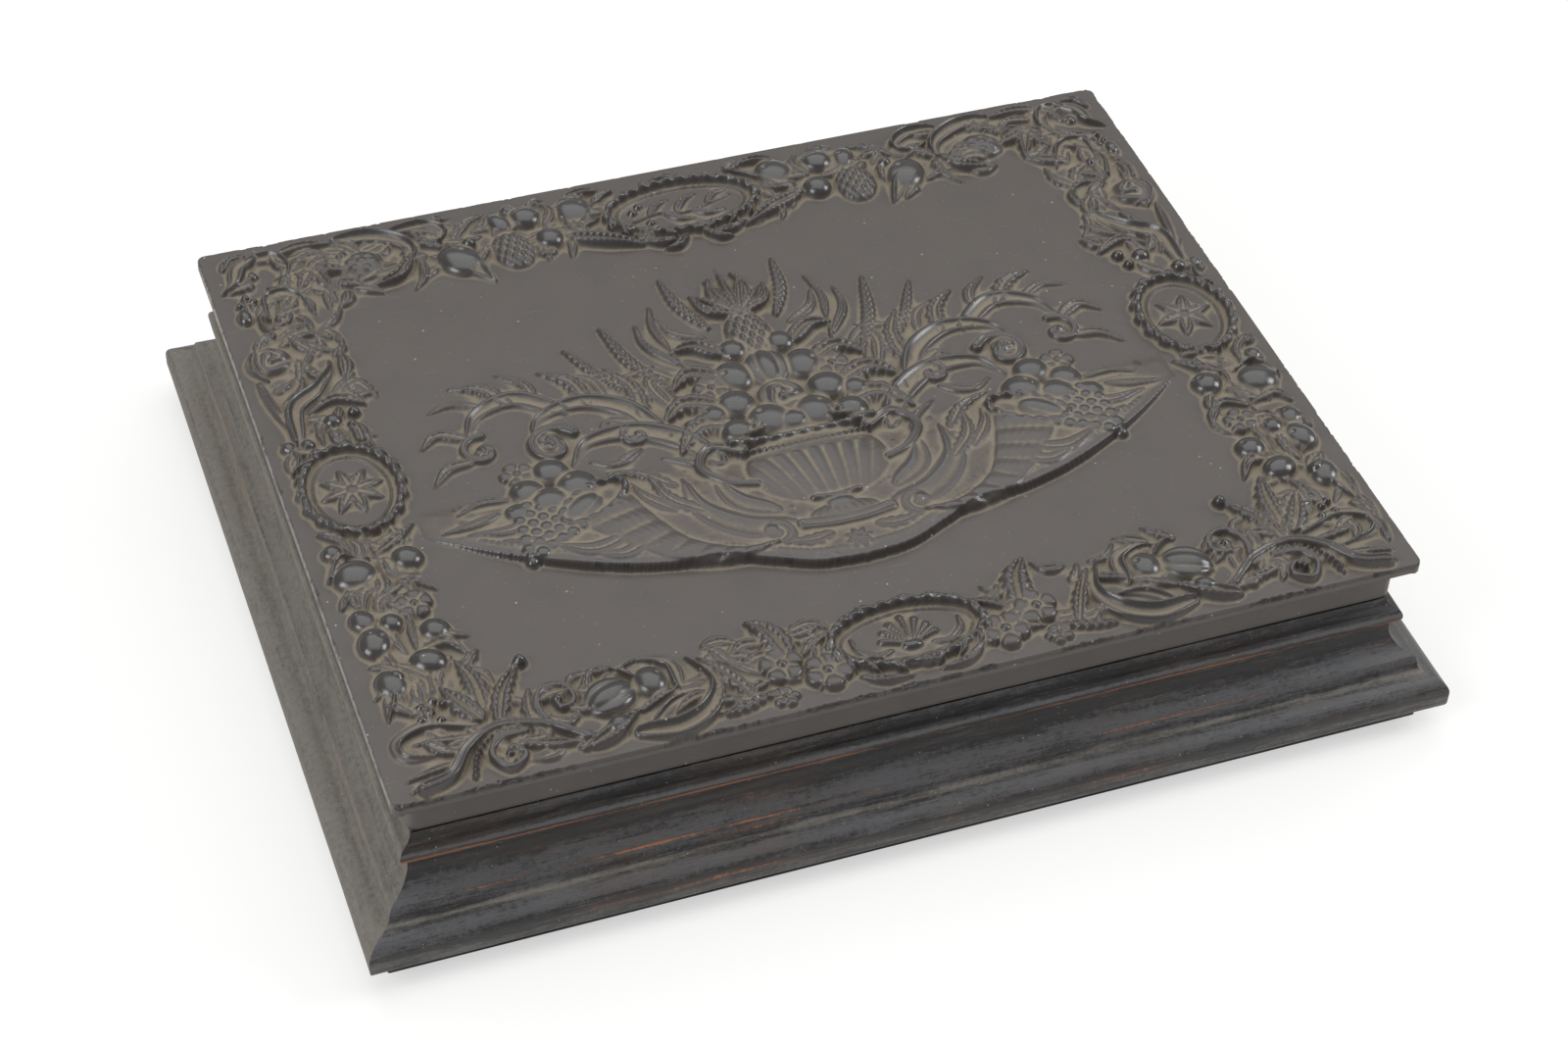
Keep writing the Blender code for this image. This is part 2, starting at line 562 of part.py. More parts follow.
def centre_scale():
    """What a share is in the centre, along and across the field inside the border."""
    field = np.array([cover_length, cover_width]) - 2 * border_width
    return field / (plan_shares - 2)


def centre_place(share, side):
    """A place in the centre, on the right half for side 1 and mirrored for side -1."""
    return np.array([side * share[0], share[1]]) * centre_scale()


def leaves(rows, place, scale, horns=0):
    """Leaf motifs of both halves. The first rows may be horns."""
    return [Leaf([place(share, side) for share in curve], width * scale,
                 height * relief_height, number < horns)
            for number, (width, height, *curve) in enumerate(rows) for side in (-1, 1)]


def fruits(rows, place, scale, sides=(-1, 1)):
    """Fruit motifs of both halves, or of one."""
    return [Fruit(place(share, side), [radius * scale for radius in radii],
                  turn * (side if place is centre_place else -side), height * relief_height)
            for share, radii, turn, height in rows for side in sides]


def ovals():
    """The four ring shaped frames in the border."""
    half = np.array([cover_length / 2, cover_width / 2])
    return [Ring(np.array(way) * (half - inset * border_width),
                 [radius * border_width for radius in radii], ring_half_width,
                 oval_height_share * relief_height) for way, inset, radii in oval_shares]


def relief_top(shape, boundary):
    """Close the cover's top: the motifs' outlines and crests are triangulated together with
    the boundary, and each point is lifted. In the border the highest motif counts. In the
    centre the highest motif is added to the bracket, less the share of the full relief that
    the bracket has already."""
    garland = leaves(border_leaf_shares, border_place, border_width)
    garland += fruits(border_fruit_shares, border_place, border_width) + ovals()
    scale = min(centre_scale())
    centre = leaves(centre_leaf_shares, centre_place, scale, 1)
    centre += fruits(centre_fruit_shares, centre_place, scale)
    centre += fruits(heart_fruit_shares, centre_place, scale, [1])
    bracket = Bracket()
    points = [Vector(vertex.co.xy) for vertex in boundary]
    edges = [(k, (k + 1) % len(points)) for k in range(len(points))]
    for motif in [*garland, *centre, bracket]:
        for loop in motif.loops:
            start = len(points)
            points += [Vector(point) for point in loop]
            edges += [(start + k, start + (k + 1) % len(loop)) for k in range(len(loop))]
        points += [Vector(point) for point in motif.crest]
    flat = geometry.delaunay_2d_cdt(points, edges, [], 0, cut_overrun / 1000)
    plan = np.array([tuple(point) for point in flat[0]])
    ground = bracket.lift(plan)
    raised = np.max([motif.lift(plan) for motif in centre], axis=0)
    heights = np.max([motif.lift(plan) for motif in garland], axis=0)
    heights = np.maximum(heights, ground + raised * (1 - ground / relief_height))
    top = [shape.verts.new((x, y, cover_top + z)) for (x, y), z in zip(plan, heights)]
    for face in flat[2]:
        shape.faces.new([top[k] for k in face])
    bmesh.ops.remove_doubles(shape, verts=shape.verts, dist=cut_overrun / 1000)


def cover_rings():
    """The cover's skin from its top face round the flange, the band and the inside."""
    inside = band_setback + band_wall
    rings = [(offset - flange_edge_round, height, flange_corner)
             for offset, height in arc((0, cover_top - flange_edge_round),
                                       (flange_edge_round, flange_edge_round), 90, 0, 2)]
    rings += [(0, ceiling, flange_corner), (-band_setback, ceiling, band_corner)]
    foot = arc((-band_setback - band_foot_round, cover_bottom + band_foot_round),
               (band_foot_round, band_foot_round), 0, -90, 3)
    rings += [(offset, height, band_corner) for offset, height in foot]
    rings += [(-inside, cover_bottom, band_inner_corner), (-inside, ceiling, band_inner_corner)]
    corner_steps = 4
    return [[(x, y, height) for x, y in rounded_rectangle(
        cover_length + 2 * offset, cover_width + 2 * offset, radius, corner_steps)]
        for offset, height, radius in rings]


def make_cover(material):
    """The thermoplastic cover, one moulding with its ornament."""
    shape = bmesh.new()
    first, last = skin_rings(shape, cover_rings())
    shape.faces.new(last)
    relief_top(shape, first)
    return make_piece("cover", shape, material, 25)


def make_pad(opening_length, opening_width, board_bottom, material):
    """A stuffed velvet pad: square corners drawn in, a crowned face and a stamped oval channel.
    It hangs face down, so its crown is its lowest part."""
    back = board_bottom - seat_gap
    length, width = opening_length - 2 * pad_side_gap, opening_width - 2 * pad_side_gap
    corner_power = 9
    steps = 56
    angles = np.arange(steps) * 2 * np.pi / steps
    reach = (np.abs(np.cos(angles)) ** corner_power
             + np.abs(np.sin(angles)) ** corner_power) ** (-1 / corner_power)
    unit = np.stack([np.cos(angles) * reach, np.sin(angles) * reach], 1)
    half = np.array([length, width]) / 2
    shape = bmesh.new()
    rings = []
    for depth_share, tuck_share in ((0, 1), (0.25, 0.3), (0.55, 0), (0.85, 0.5)):
        outline = unit * (half - pad_side_tuck * tuck_share)
        rings.append([(x, y, back - pad_edge_height * depth_share) for x, y in outline])
    channel_share = 0.66
    for share in (0.97, 0.9, 0.8, 0.74, 0.70, 0.66, 0.62, 0.58, 0.45, 0.3, 0.15):
        face_x, face_y = (unit * half * share).T
        oval = np.hypot(face_x / half[0], face_y / half[1])
        crown = pad_crown * (1 - share ** 2)
        away = np.abs(oval - channel_share) * half[1] / channel_half_width
        channel = channel_depth * np.maximum(0, 1 - away ** 2)
        drop = pad_edge_height + crown - channel
        rings.append([(x, y, back - z) for x, y, z in zip(face_x, face_y, drop)])
    first, last = skin_rings(shape, rings)
    shape.faces.new(first)
    middle = shape.verts.new((0, 0, back - pad_edge_height - pad_crown))
    for k, vertex in enumerate(last):
        shape.faces.new((vertex, last[(k + 1) % steps], middle))
    return make_piece("lid_pad", shape, material, 60)


def make_mat(bottom, material):
    """Brass mat: a rectangle with an oval window."""
    top = bottom + mat_thickness
    window_steps = 48
    half = (plate_length / 2 - mat_margin_long, plate_width / 2 - mat_margin_short)
    window = ellipse((0, 0), half, 0, window_steps)
    outline = rounded_rectangle(plate_length, plate_width, seat_gap, 1)
    shape = bmesh.new()
    points = [Vector(point) for point in outline] + [Vector(point) for point in window]
    edges = [(k, (k + 1) % len(outline)) for k in range(len(outline))]
    start = len(outline)
    edges += [(start + k, start + (k + 1) % window_steps) for k in range(window_steps)]
    flat = geometry.delaunay_2d_cdt(points, edges, [], 0, seat_gap / 100)
    sheet = [shape.verts.new((x, y, bottom)) for x, y in flat[0]]
    for face in flat[2]:
        if any(k < start for k in face):
            shape.faces.new([sheet[k] for k in face])
    raised = bmesh.ops.extrude_face_region(shape, geom=list(shape.faces))["geom"]
    lifted = [item for item in raised if isinstance(item, bmesh.types.BMVert)]
    bmesh.ops.translate(shape, verts=lifted, vec=(0, 0, top - bottom))
    return make_piece("mat", shape, material)


def make_preserver(bottom, top, material):
    """Thin brass binding folded round the packet's edges, with a lip over the glass and
    another under the plate."""
    wall = preserver_wall
    section = [(0, bottom), (0, top), (-preserver_lip, top), (-preserver_lip, top - wall),
               (-wall, top - wall), (-wall, bottom + wall), (-preserver_lip, bottom + wall),
               (-preserver_lip, bottom)]
    shape = bmesh.new()
    rings = []
    for out, height in section:
        half = (packet_length / 2 + out, packet_width / 2 + out)
        rings.append([(sx * half[0], sy * half[1], height)
                      for sx, sy in ((1, 1), (-1, 1), (-1, -1), (1, -1))])
    first, last = skin_rings(shape, rings)
    for k, vertex in enumerate(last):
        after = (k + 1) % len(last)
        shape.faces.new((vertex, last[after], first[after], first[k]))
    return make_piece("preserver", shape, material)


def strip(side, inset, thickness, bottom, top):
    """A strip along one side of the well. Front and back strips run the whole length and the
    side strips fit between them."""
    half_length = well_length / 2 - inset
    half_width = well_width / 2 - inset
    if side in ("front", "back"):
        way = 1 if side == "back" else -1
        ys = sorted((way * half_width, way * (half_width - thickness)))
        return box((-half_length, ys[0], bottom), (half_length, ys[1], top))
    way = 1 if side == "right" else -1
    xs = sorted((way * half_length, way * (half_length - thickness)))
    end = half_width - thickness - seat_gap
    return box((xs[0], -end, bottom), (xs[1], end, top))


def screw_profile(gap):
    """Countersunk screw along +Z with its head at the bottom. With a gap it is the hole for
    it, which starts below the surface."""
    head = screw_head_radius + gap
    shank = screw_shank_radius + gap
    point_share = 0.7
    mouth = [(0, -cut_overrun), (head, -cut_overrun)] if gap else [(0, 0)]
    return [*mouth, (head, 0), (shank, screw_head_depth),
            (shank, screw_length * point_share), (0, screw_length + gap)]


def screw_places(middle):
    """Three screws on one line in a leaf: two near its ends and one in the middle."""
    end = hinge_length / 2 - screw_end_inset
    back = pivot_back - screw_inset
    return [(middle + way * end, back) for way in (-1, 0, 1)]


def screw_shape(place, surface, upwards, gap=0.0):
    """A screw or its hole, head flush with the leaf's surface."""
    shape = turned(screw_profile(gap), 12, (0, 0, 0))
    if not upwards:
        bmesh.ops.scale(shape, verts=shape.verts, vec=(1, 1, -1))
    bmesh.ops.translate(shape, verts=shape.verts, vec=(place[0], place[1], surface))
    bmesh.ops.recalc_face_normals(shape, faces=shape.faces)
    return shape


def hinge_cylinder(middle, length, radius, name, material):
    """A cylinder along the hinge's axis."""
    profile = [(0, -length / 2), (radius, -length / 2), (radius, length / 2), (0, length / 2)]
    shape = turned(profile, 16, (middle, pivot_back, pivot_height), "X")
    return make_piece(name, shape, material, 30)


def make_leaf(name, middle, upper, brass):
    """One hinge leaf with its share of the knuckles: the base leaf carries the outer two and
    the lid leaf the middle one."""
    low = lid_bottom if upper else base_top - leaf_thickness
    half = hinge_length / 2
    plate = box((middle - half, pivot_back - leaf_reach, low),
                (middle + half, pivot_back, low + leaf_thickness))
    leaf = make_piece(name, plate, brass)
    knuckle = hinge_length / 3
    own = (0,) if upper else (-1, 1)
    others = (-1, 1) if upper else (0,)
    room = knuckle_radius + seat_gap
    for step in own:
        length = knuckle - seat_gap
        barrel = hinge_cylinder(middle + step * knuckle, length, knuckle_radius, "barrel", brass)
        join_or_cut(leaf, barrel, "UNION")
    for step in others:
        notch = box((middle + step * knuckle - knuckle / 2 - seat_gap / 2,
                     pivot_back - room, low - cut_overrun),
                    (middle + step * knuckle + knuckle / 2 + seat_gap / 2,
                     pivot_back + cut_overrun, low + leaf_thickness + cut_overrun))
        join_or_cut(leaf, make_piece("notch", notch, brass), "DIFFERENCE")
    bore = hinge_cylinder(middle, hinge_length + cut_overrun, pin_radius + pin_clearance,
                          "bore", brass)
    join_or_cut(leaf, bore, "DIFFERENCE")
    surface = lid_bottom if upper else base_top
    for place in screw_places(middle):
        hole = make_piece("hole", screw_shape(place, surface, upper, seat_gap), brass)
        join_or_cut(leaf, hole, "DIFFERENCE")
    leaf.data.shade_smooth()
    leaf.data.set_sharp_from_angle(angle=radians(30))
    return leaf


def cut_hinge_seat(rail, middle, upper, material):
    """Let a hinge leaf, its knuckles and its screws into the rail that carries it."""
    half = hinge_length / 2 + seat_gap
    front = pivot_back - leaf_reach - seat_gap
    behind = cover_width / 2 + cut_overrun
    if upper:
        seat = box((middle - half, front, lid_bottom - cut_overrun),
                   (middle + half, behind, lid_bottom + leaf_thickness + seat_gap))
        join_or_cut(rail, make_piece("seat", seat, material), "DIFFERENCE")
        room = knuckle_radius + seat_gap
        notch = box((middle - half, pivot_back - room, lid_bottom - cut_overrun),
                    (middle + half, behind, pivot_height + room))
        join_or_cut(rail, make_piece("notch", notch, material), "DIFFERENCE")
    else:
        seat = box((middle - half, front, base_top - leaf_thickness - seat_gap),
                   (middle + half, behind, base_top + cut_overrun))
        join_or_cut(rail, make_piece("seat", seat, material), "DIFFERENCE")
    surface = lid_bottom if upper else base_top
    for place in screw_places(middle):
        hole = make_piece("hole", screw_shape(place, surface, upper, seat_gap), material)
        join_or_cut(rail, hole, "DIFFERENCE")


def make_hinge(side, middle, brass, screw_brass):
    """A butt hinge: two leaves, the pin and the screws. Returns its lid and base pieces."""
    name = f"hinge_{side}"
    lid_pieces = [make_leaf(f"{name}_lid_leaf", middle, True, brass)]
    base_pieces = [make_leaf(f"{name}_base_leaf", middle, False, brass)]
    base_pieces.append(hinge_cylinder(middle, hinge_length, pin_radius, f"{name}_pin", screw_brass))
    for count, place in enumerate(screw_places(middle), 1):
        upper = screw_shape(place, lid_bottom, True)
        lid_pieces.append(make_piece(f"{name}_lid_screw_{count}", upper, screw_brass, 30))
        lower = screw_shape(place, base_top, False)
        base_pieces.append(make_piece(f"{name}_base_screw_{count}", lower, screw_brass, 30))
    return lid_pieces, base_pieces


def hang_on(pieces, pivot):
    """Parent pieces to an empty without moving them."""
    for piece in pieces:
        piece.data.transform(Matrix.Translation(-pivot.location))
        piece.parent = pivot


def make_empty(name, place):
    """An empty that carries one body of the case."""
    empty = bpy.data.objects.new(name, None)
    empty.location = place
    bpy.context.scene.collection.objects.link(empty)
    return empty


def make_packet(floor, velvet, brass, glass, dark, card):
    """The picture packet and the strips that hold it, from the ledgers up."""
    sides = ("front", "back", "left", "right")
    pieces = []
    ledger_top = floor + ledger_height
    for side in sides:
        shape = strip(side, seat_gap, ledger_width, floor, ledger_top)
        pieces.append(make_piece(f"ledger_{side}", shape, card))
    backing_bottom = ledger_top + seat_gap
    backing_top = backing_bottom + backing_thickness
    half = (well_length / 2 - seat_gap, well_width / 2 - seat_gap)
    backing = box((-half[0], -half[1], backing_bottom), (half[0], half[1], backing_top))
    pieces.append(make_piece("backing_board", backing, card))
    for side in sides:
        shape = strip(side, seat_gap, lining_thickness, backing_top + seat_gap,
                      base_top - lining_drop)
        pieces.append(make_piece(f"well_lining_{side}", shape, velvet))
    packet_bottom = backing_top + seat_gap
    level = packet_bottom + preserver_wall + seat_gap
    layers = (("picture_plate", plate_thickness, dark), ("mat", mat_thickness, brass),
              ("cover_glass", glass_thickness, glass))
    for name, thickness, material in layers:
        if name == "mat":
            pieces.append(make_mat(level, material))
        else:
            sheet = box((-plate_length / 2, -plate_width / 2, level),
                        (plate_length / 2, plate_width / 2, level + thickness))
            pieces.append(make_piece(name, sheet, material))
        level += thickness + seat_gap
    pieces.append(make_preserver(packet_bottom, level + preserver_wall, brass))
    return pieces


def main():
    clear_scene()
    moulded = finish("moulded_black", (0.105, 0.094, 0.086), 0.42)
    ebonised = finish("ebonised_wood", (0.040, 0.037, 0.035), 0.38)
    velvet = finish("crimson_velvet", (0.150, 0.012, 0.022), 0.90)
    brass = finish("brass", (0.620, 0.430, 0.150), 0.32, 1.0)
    screw_brass = finish("brass_screw", (0.480, 0.340, 0.140), 0.38, 1.0)
    glass = finish("glass", (0.800, 0.860, 0.850), 0.05)
    dark = finish("blank_plate", (0.045, 0.048, 0.055), 0.15, 0.6)
    card = finish("card_and_deal", (0.360, 0.270, 0.170), 0.80)

    base_pieces = []
    board_length = rim_length + 2 * board_reach
    board_width = rim_width + 2 * board_reach
    board = box((-board_length / 2, -board_width / 2, 0),
                (board_length / 2, board_width / 2, board_thickness))
    bmesh.ops.bevel(board, geom=list(board.edges), offset=board_edge_round, segments=2,
                    profile=0.5, affect="EDGES")
    base_pieces.append(make_piece("bottom_board", board, ebonised, 35))

    sides = ("front", "back", "left", "right")
    rails = {}
    for side in sides:
        shape = mitred_length(base_section(), well_length, well_width, side)
        rails["base", side] = make_piece(f"base_moulding_{side}", shape, ebonised, 35)
        base_pieces.append(rails["base", side])
    base_pieces += make_packet(board_thickness + seat_gap, velvet, brass, glass, dark, card)

    tongue_face = band_setback + band_wall + seat_gap + tongue_thickness
    lid_opening = (cover_length - 2 * tongue_face, cover_width - 2 * tongue_face)
    lid_pieces = [make_cover(moulded)]
    for side in sides:
        shape = mitred_length(lid_section(tongue_face), *lid_opening, side)
        rails["lid", side] = make_piece(f"lid_rail_{side}", shape, ebonised, 35)
        lid_pieces.append(rails["lid", side])
    board_bottom = lid_shoulder + tongue_height + seat_gap
    inside = band_setback + band_wall + seat_gap
    half = (cover_length / 2 - inside, cover_width / 2 - inside)
    pad_board = box((-half[0], -half[1], board_bottom),
                    (half[0], half[1], board_bottom + pad_board_thickness))
    lid_pieces.append(make_piece("pad_board", pad_board, card))
    lid_pieces.append(make_pad(*lid_opening, board_bottom, velvet))

    for side, way in (("left", -1), ("right", 1)):
        middle = way * cover_length * hinge_inset_share
        cut_hinge_seat(rails["base", "back"], middle, False, ebonised)
        cut_hinge_seat(rails["lid", "back"], middle, True, ebonised)
        upper, lower = make_hinge(side, middle, brass, screw_brass)
        lid_pieces += upper
        base_pieces += lower

    hang_on(base_pieces, make_empty("case_foot", (0, 0, 0)))
    hang_on(lid_pieces, make_empty("lid_pivot", (0, pivot_back, pivot_height)))


main()
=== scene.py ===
"""Large hinged picture case of moulded thermoplastic and ebonised wood: its visible finish.

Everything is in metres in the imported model's frame: X along the front, Y to the hinged back and
Z up. The sections follow the case as it is put together, from its bottom board to its moulded
cover, and end with the floor, the light and the camera.
"""

import json

import bmesh
import bpy
import numpy as np
from mathutils import Matrix, Vector

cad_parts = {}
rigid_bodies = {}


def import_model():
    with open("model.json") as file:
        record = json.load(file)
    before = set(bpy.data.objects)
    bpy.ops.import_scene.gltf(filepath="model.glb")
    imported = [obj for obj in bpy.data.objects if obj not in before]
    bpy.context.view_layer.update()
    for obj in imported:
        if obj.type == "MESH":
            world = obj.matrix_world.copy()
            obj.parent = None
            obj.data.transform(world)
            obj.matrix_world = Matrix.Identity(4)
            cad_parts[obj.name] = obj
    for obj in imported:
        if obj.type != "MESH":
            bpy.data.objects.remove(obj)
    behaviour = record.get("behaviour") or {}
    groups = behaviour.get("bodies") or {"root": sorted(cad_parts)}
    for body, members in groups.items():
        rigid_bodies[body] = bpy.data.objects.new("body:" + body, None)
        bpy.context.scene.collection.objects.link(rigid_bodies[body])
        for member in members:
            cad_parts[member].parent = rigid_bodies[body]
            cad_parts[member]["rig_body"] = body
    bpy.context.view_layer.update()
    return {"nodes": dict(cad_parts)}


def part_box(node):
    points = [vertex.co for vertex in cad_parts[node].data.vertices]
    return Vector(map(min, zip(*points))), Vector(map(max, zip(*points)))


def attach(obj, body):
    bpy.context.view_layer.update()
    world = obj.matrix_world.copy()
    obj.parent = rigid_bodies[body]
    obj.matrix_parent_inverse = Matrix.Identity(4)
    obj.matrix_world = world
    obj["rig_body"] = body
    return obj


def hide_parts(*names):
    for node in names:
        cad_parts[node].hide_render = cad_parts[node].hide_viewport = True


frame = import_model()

# Bottom board. The real one is a flat softwood board, stained black and glued under the
# moulding, set back from its nose, so that only its edge shows as a thin dark line.
mm = 0.001
board_ease = 0.25 * mm
board_black = (0.020, 0.018, 0.017)
board_brown = (0.060, 0.042, 0.030)


class Link:
    """An output of a shader node. Sums, differences and products with numbers or other links
    become Math nodes."""

    def __init__(self, finish, socket):
        self.finish = finish
        self.socket = socket

    def math(self, operation, *values):
        """One Math node on links and numbers."""
        return self.finish.node("Math", {"operation": operation}, dict(enumerate(values)))

    def __add__(self, other):
        return self.math("ADD", self, other)

    def __sub__(self, other):
        return self.math("SUBTRACT", self, other)

    def __rsub__(self, other):
        return self.math("SUBTRACT", other, self)

    def __mul__(self, other):
        return self.math("MULTIPLY", self, other)

    __radd__ = __add__
    __rmul__ = __mul__

    def swing(self, reach):
        """A noise as a number that goes half of reach below and above nothing."""
        return (self - 0.5) * reach

    def step(self, low, high):
        """0 up to low, 1 from high on, and a smooth rise between."""
        return self.finish.node("MapRange", {"interpolation_type": "SMOOTHSTEP"},
                                {0: self, 1: low, 2: high, 3: 0.0, 4: 1.0})


class Finish:
    """A material with one Principled shader. Constants are set on the shader's own sockets."""

    def __init__(self, name, **constants):
        self.material = bpy.data.materials.new(name)
        self.material.use_nodes = True
        self.tree = self.material.node_tree
        self.shader = self.tree.nodes["Principled BSDF"]
        self.feed(**constants)

    def join(self, socket, value):
        """Link a socket to a node's output, or set its value."""
        if isinstance(value, Link):
            self.tree.links.new(value.socket, socket)
        elif isinstance(value, tuple) and socket.type == "RGBA":
            socket.default_value = (*value, 1.0)
        else:
            socket.default_value = value

    def feed(self, **values):
        """Give the Principled shader's sockets their links or values: base_color is Base Color."""
        for name, value in values.items():
            self.join(self.shader.inputs[name.replace("_", " ").title()], value)

    def node(self, kind, settings, values, output=0):
        """Add a node: its type, its settings, and its sockets' values or links."""
        made = self.tree.nodes.new("ShaderNode" + kind)
        for key, setting in settings.items():
            setattr(made, key, setting)
        for key, value in values.items():
            self.join(made.inputs[key], value)
        return Link(self, made.outputs[output])

    def attribute(self, name):
        """A number that the mesh carries at each point."""
        return self.node("Attribute", {"attribute_name": name}, {}, "Fac")

    def places(self, stretch, source):
        """Object or UV coordinates, each axis times its stretch."""
        start = self.node("TexCoord", {}, {}, source)
        return self.node("Mapping", {}, {"Vector": start, "Scale": stretch})

    def noise(self, size, detail=3.0, stretch=(1.0, 1.0, 1.0), source="Object", sharp=0.5):
        """Cloudy noise from 0 to 1 whose patches are about size across."""
        return self.node("TexNoise", {}, {
            "Vector": self.places(stretch, source), "Scale": 1.0 / size, "Detail": detail,
            "Roughness": sharp})

    def specks(self, size, share):
        """Round dots in a few of the cells of a Voronoi pattern: 1 inside, 0 outside."""
        cell = {"Vector": self.places((1.0, 1.0, 1.0), "Object"), "Scale": 1.0 / size}
        away = self.node("TexVoronoi", {}, cell, "Distance")
        chance = self.node("TexVoronoi", {}, cell, "Color")
        chosen = self.node("SeparateColor", {}, {"Color": chance}, "Red")
        return (1.0 - away.step(0.10, 0.22)) * (1.0 - chosen.step(share, share + 0.01))

    def blend(self, share, first, second):
        """Mix of two colours: the first at 0, the second at 1."""
        return self.node("Mix", {"data_type": "RGBA"}, {0: share, 6: first, 7: second}, 2)

    def layers(self, colour, *coats):
        """A colour with others laid over it in turn, each given as its share and its colour."""
        for share, coat in coats:
            colour = self.blend(share, colour, coat)
        return colour

    def bump(self, height, depth):
        """Normal of a surface lifted by height times depth."""
        return self.node("Bump", {}, {
            "Height": height, "Distance": depth, "Strength": 1.0}, "Normal")


def mesh_of(name, points, *faces):
    """A mesh from an array of points and arrays of faces, each array with its own face size."""
    mesh = bpy.data.meshes.new(name)
    corners = np.concatenate([face.ravel() for face in faces])
    sizes = np.concatenate([np.full(len(face), face.shape[1]) for face in faces])
    mesh.vertices.add(len(points))
    mesh.vertices.foreach_set("co", np.asarray(points, np.float32).ravel())
    mesh.loops.add(len(corners))
    mesh.loops.foreach_set("vertex_index", corners.astype(np.int32))
    mesh.polygons.add(len(sizes))
    mesh.polygons.foreach_set("loop_start", (np.cumsum(sizes) - sizes).astype(np.int32))
    mesh.update(calc_edges=True)
    return mesh


def grid_faces(rows, columns, wrap_rows=False, wrap_columns=False):
    """Quads of a grid of points numbered row by row, wrapped round in either direction."""
    row = np.arange(rows if wrap_rows else rows - 1)[:, None]
    column = np.arange(columns if wrap_columns else columns - 1)[None, :]
    after_row, after_column = (row + 1) % rows, (column + 1) % columns
    quads = np.stack([row * columns + column, row * columns + after_column,
                      after_row * columns + after_column, after_row * columns + column], -1)
    return quads.reshape(-1, 4)


def loft(name, rings):
    """A closed skin through flat rings of equally many points, with a flat face at each end.
    The rings run anticlockwise seen from the last end."""
    count, around = rings.shape[:2]
    ring = np.arange(around)[None]
    return mesh_of(name, rings.reshape(-1, 3), grid_faces(count, around, wrap_columns=True),
                   ring[:, ::-1], ring + (count - 1) * around)


def number_points(mesh, **numbers):
    """Store arrays of one number a point as attributes of the mesh."""
    for name, values in numbers.items():
        made = mesh.attributes.new(name, "FLOAT", "POINT")
        made.data.foreach_set("value", values.astype(np.float32).ravel())


def lay_flat(mesh, along, around):
    """UV map from two lengths in metres at each point."""
    corner = np.zeros(len(mesh.loops), np.int32)
    mesh.loops.foreach_get("vertex_index", corner)
    flat = np.stack([along.ravel()[corner], around.ravel()[corner]], 1)
    mesh.uv_layers.new(name="UVMap").data.foreach_set("uv", flat.astype(np.float32).ravel())


def piece(mesh, finish, body, nodes, smooth=35):
    """Put a mesh in the scene as a finished piece of one body that stands for CAD nodes."""
    made = bpy.data.objects.new(mesh.name, mesh)
    bpy.context.scene.collection.objects.link(made)
    mesh.materials.append(finish.material)
    mesh.shade_smooth()
    mesh.set_sharp_from_angle(angle=np.radians(smooth))
    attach(made, body)
    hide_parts(*nodes)
    return made


def circle(turn):
    """Points of the unit circle at angles in radians."""
    return np.stack([np.cos(turn), np.sin(turn)], -1)


def arc(centre, radii, start, end, steps):
    """Points of an elliptical arc, angles in degrees, both ends included."""
    return centre + circle(np.radians(np.linspace(start, end, steps + 1))) * radii


def at_height(plan, height):
    """Plan points lifted to one height."""
    return np.column_stack([plan, np.full(len(plan), height)])


def rounded_outline(half_length, half_width, radius, steps=6, side_steps=24):
    """Anticlockwise plan points of a rectangle with round corners and even points between."""
    corners = []
    for quarter, (way_x, way_y) in enumerate(((1, 1), (-1, 1), (-1, -1), (1, -1))):
        centre = (way_x * (half_length - radius), way_y * (half_width - radius))
        corners.append(arc(centre, (radius, radius), 90 * quarter, 90 * quarter + 90, steps))
    share = np.arange(1, side_steps)[:, None] / side_steps
    parts = []
    for here, after in zip(corners, corners[1:] + corners[:1]):
        parts += [here, here[-1] + (after[0] - here[-1]) * share]
    return np.concatenate(parts)


def slab(name, low, high, ease):
    """A board with eased edges: plan outlines drawn in along a quarter round at both faces."""
    middle, half = (np.array(low) + high) / 2, (np.array(high) - low) / 2
    lower = arc((0, ease), (ease, ease), 270, 360, 4)
    upper = arc((0, -ease), (ease, ease), 0, 90, 4)
    rings = []
    for offset, height in [*(lower + (-ease, -half[2])), *(upper + (-ease, half[2]))]:
        outline = rounded_outline(half[0] + offset, half[1] + offset, 2 * ease + offset)
        rings.append(at_height(outline, height) + middle)
    return loft(name, np.array(rings))


stained_board = Finish("stained_board", roughness=0.62)
grain = stained_board.noise(3 * mm, 5.0, (0.06, 1.0, 1.0))
stained_board.feed(
    base_color=stained_board.blend(grain.step(0.45, 0.80), board_black, board_brown),
    normal=stained_board.bump(grain, 0.2 * mm))
piece(slab("board_under_case", *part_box("bottom_board"), board_ease), stained_board, "base",
      ["bottom_board"])

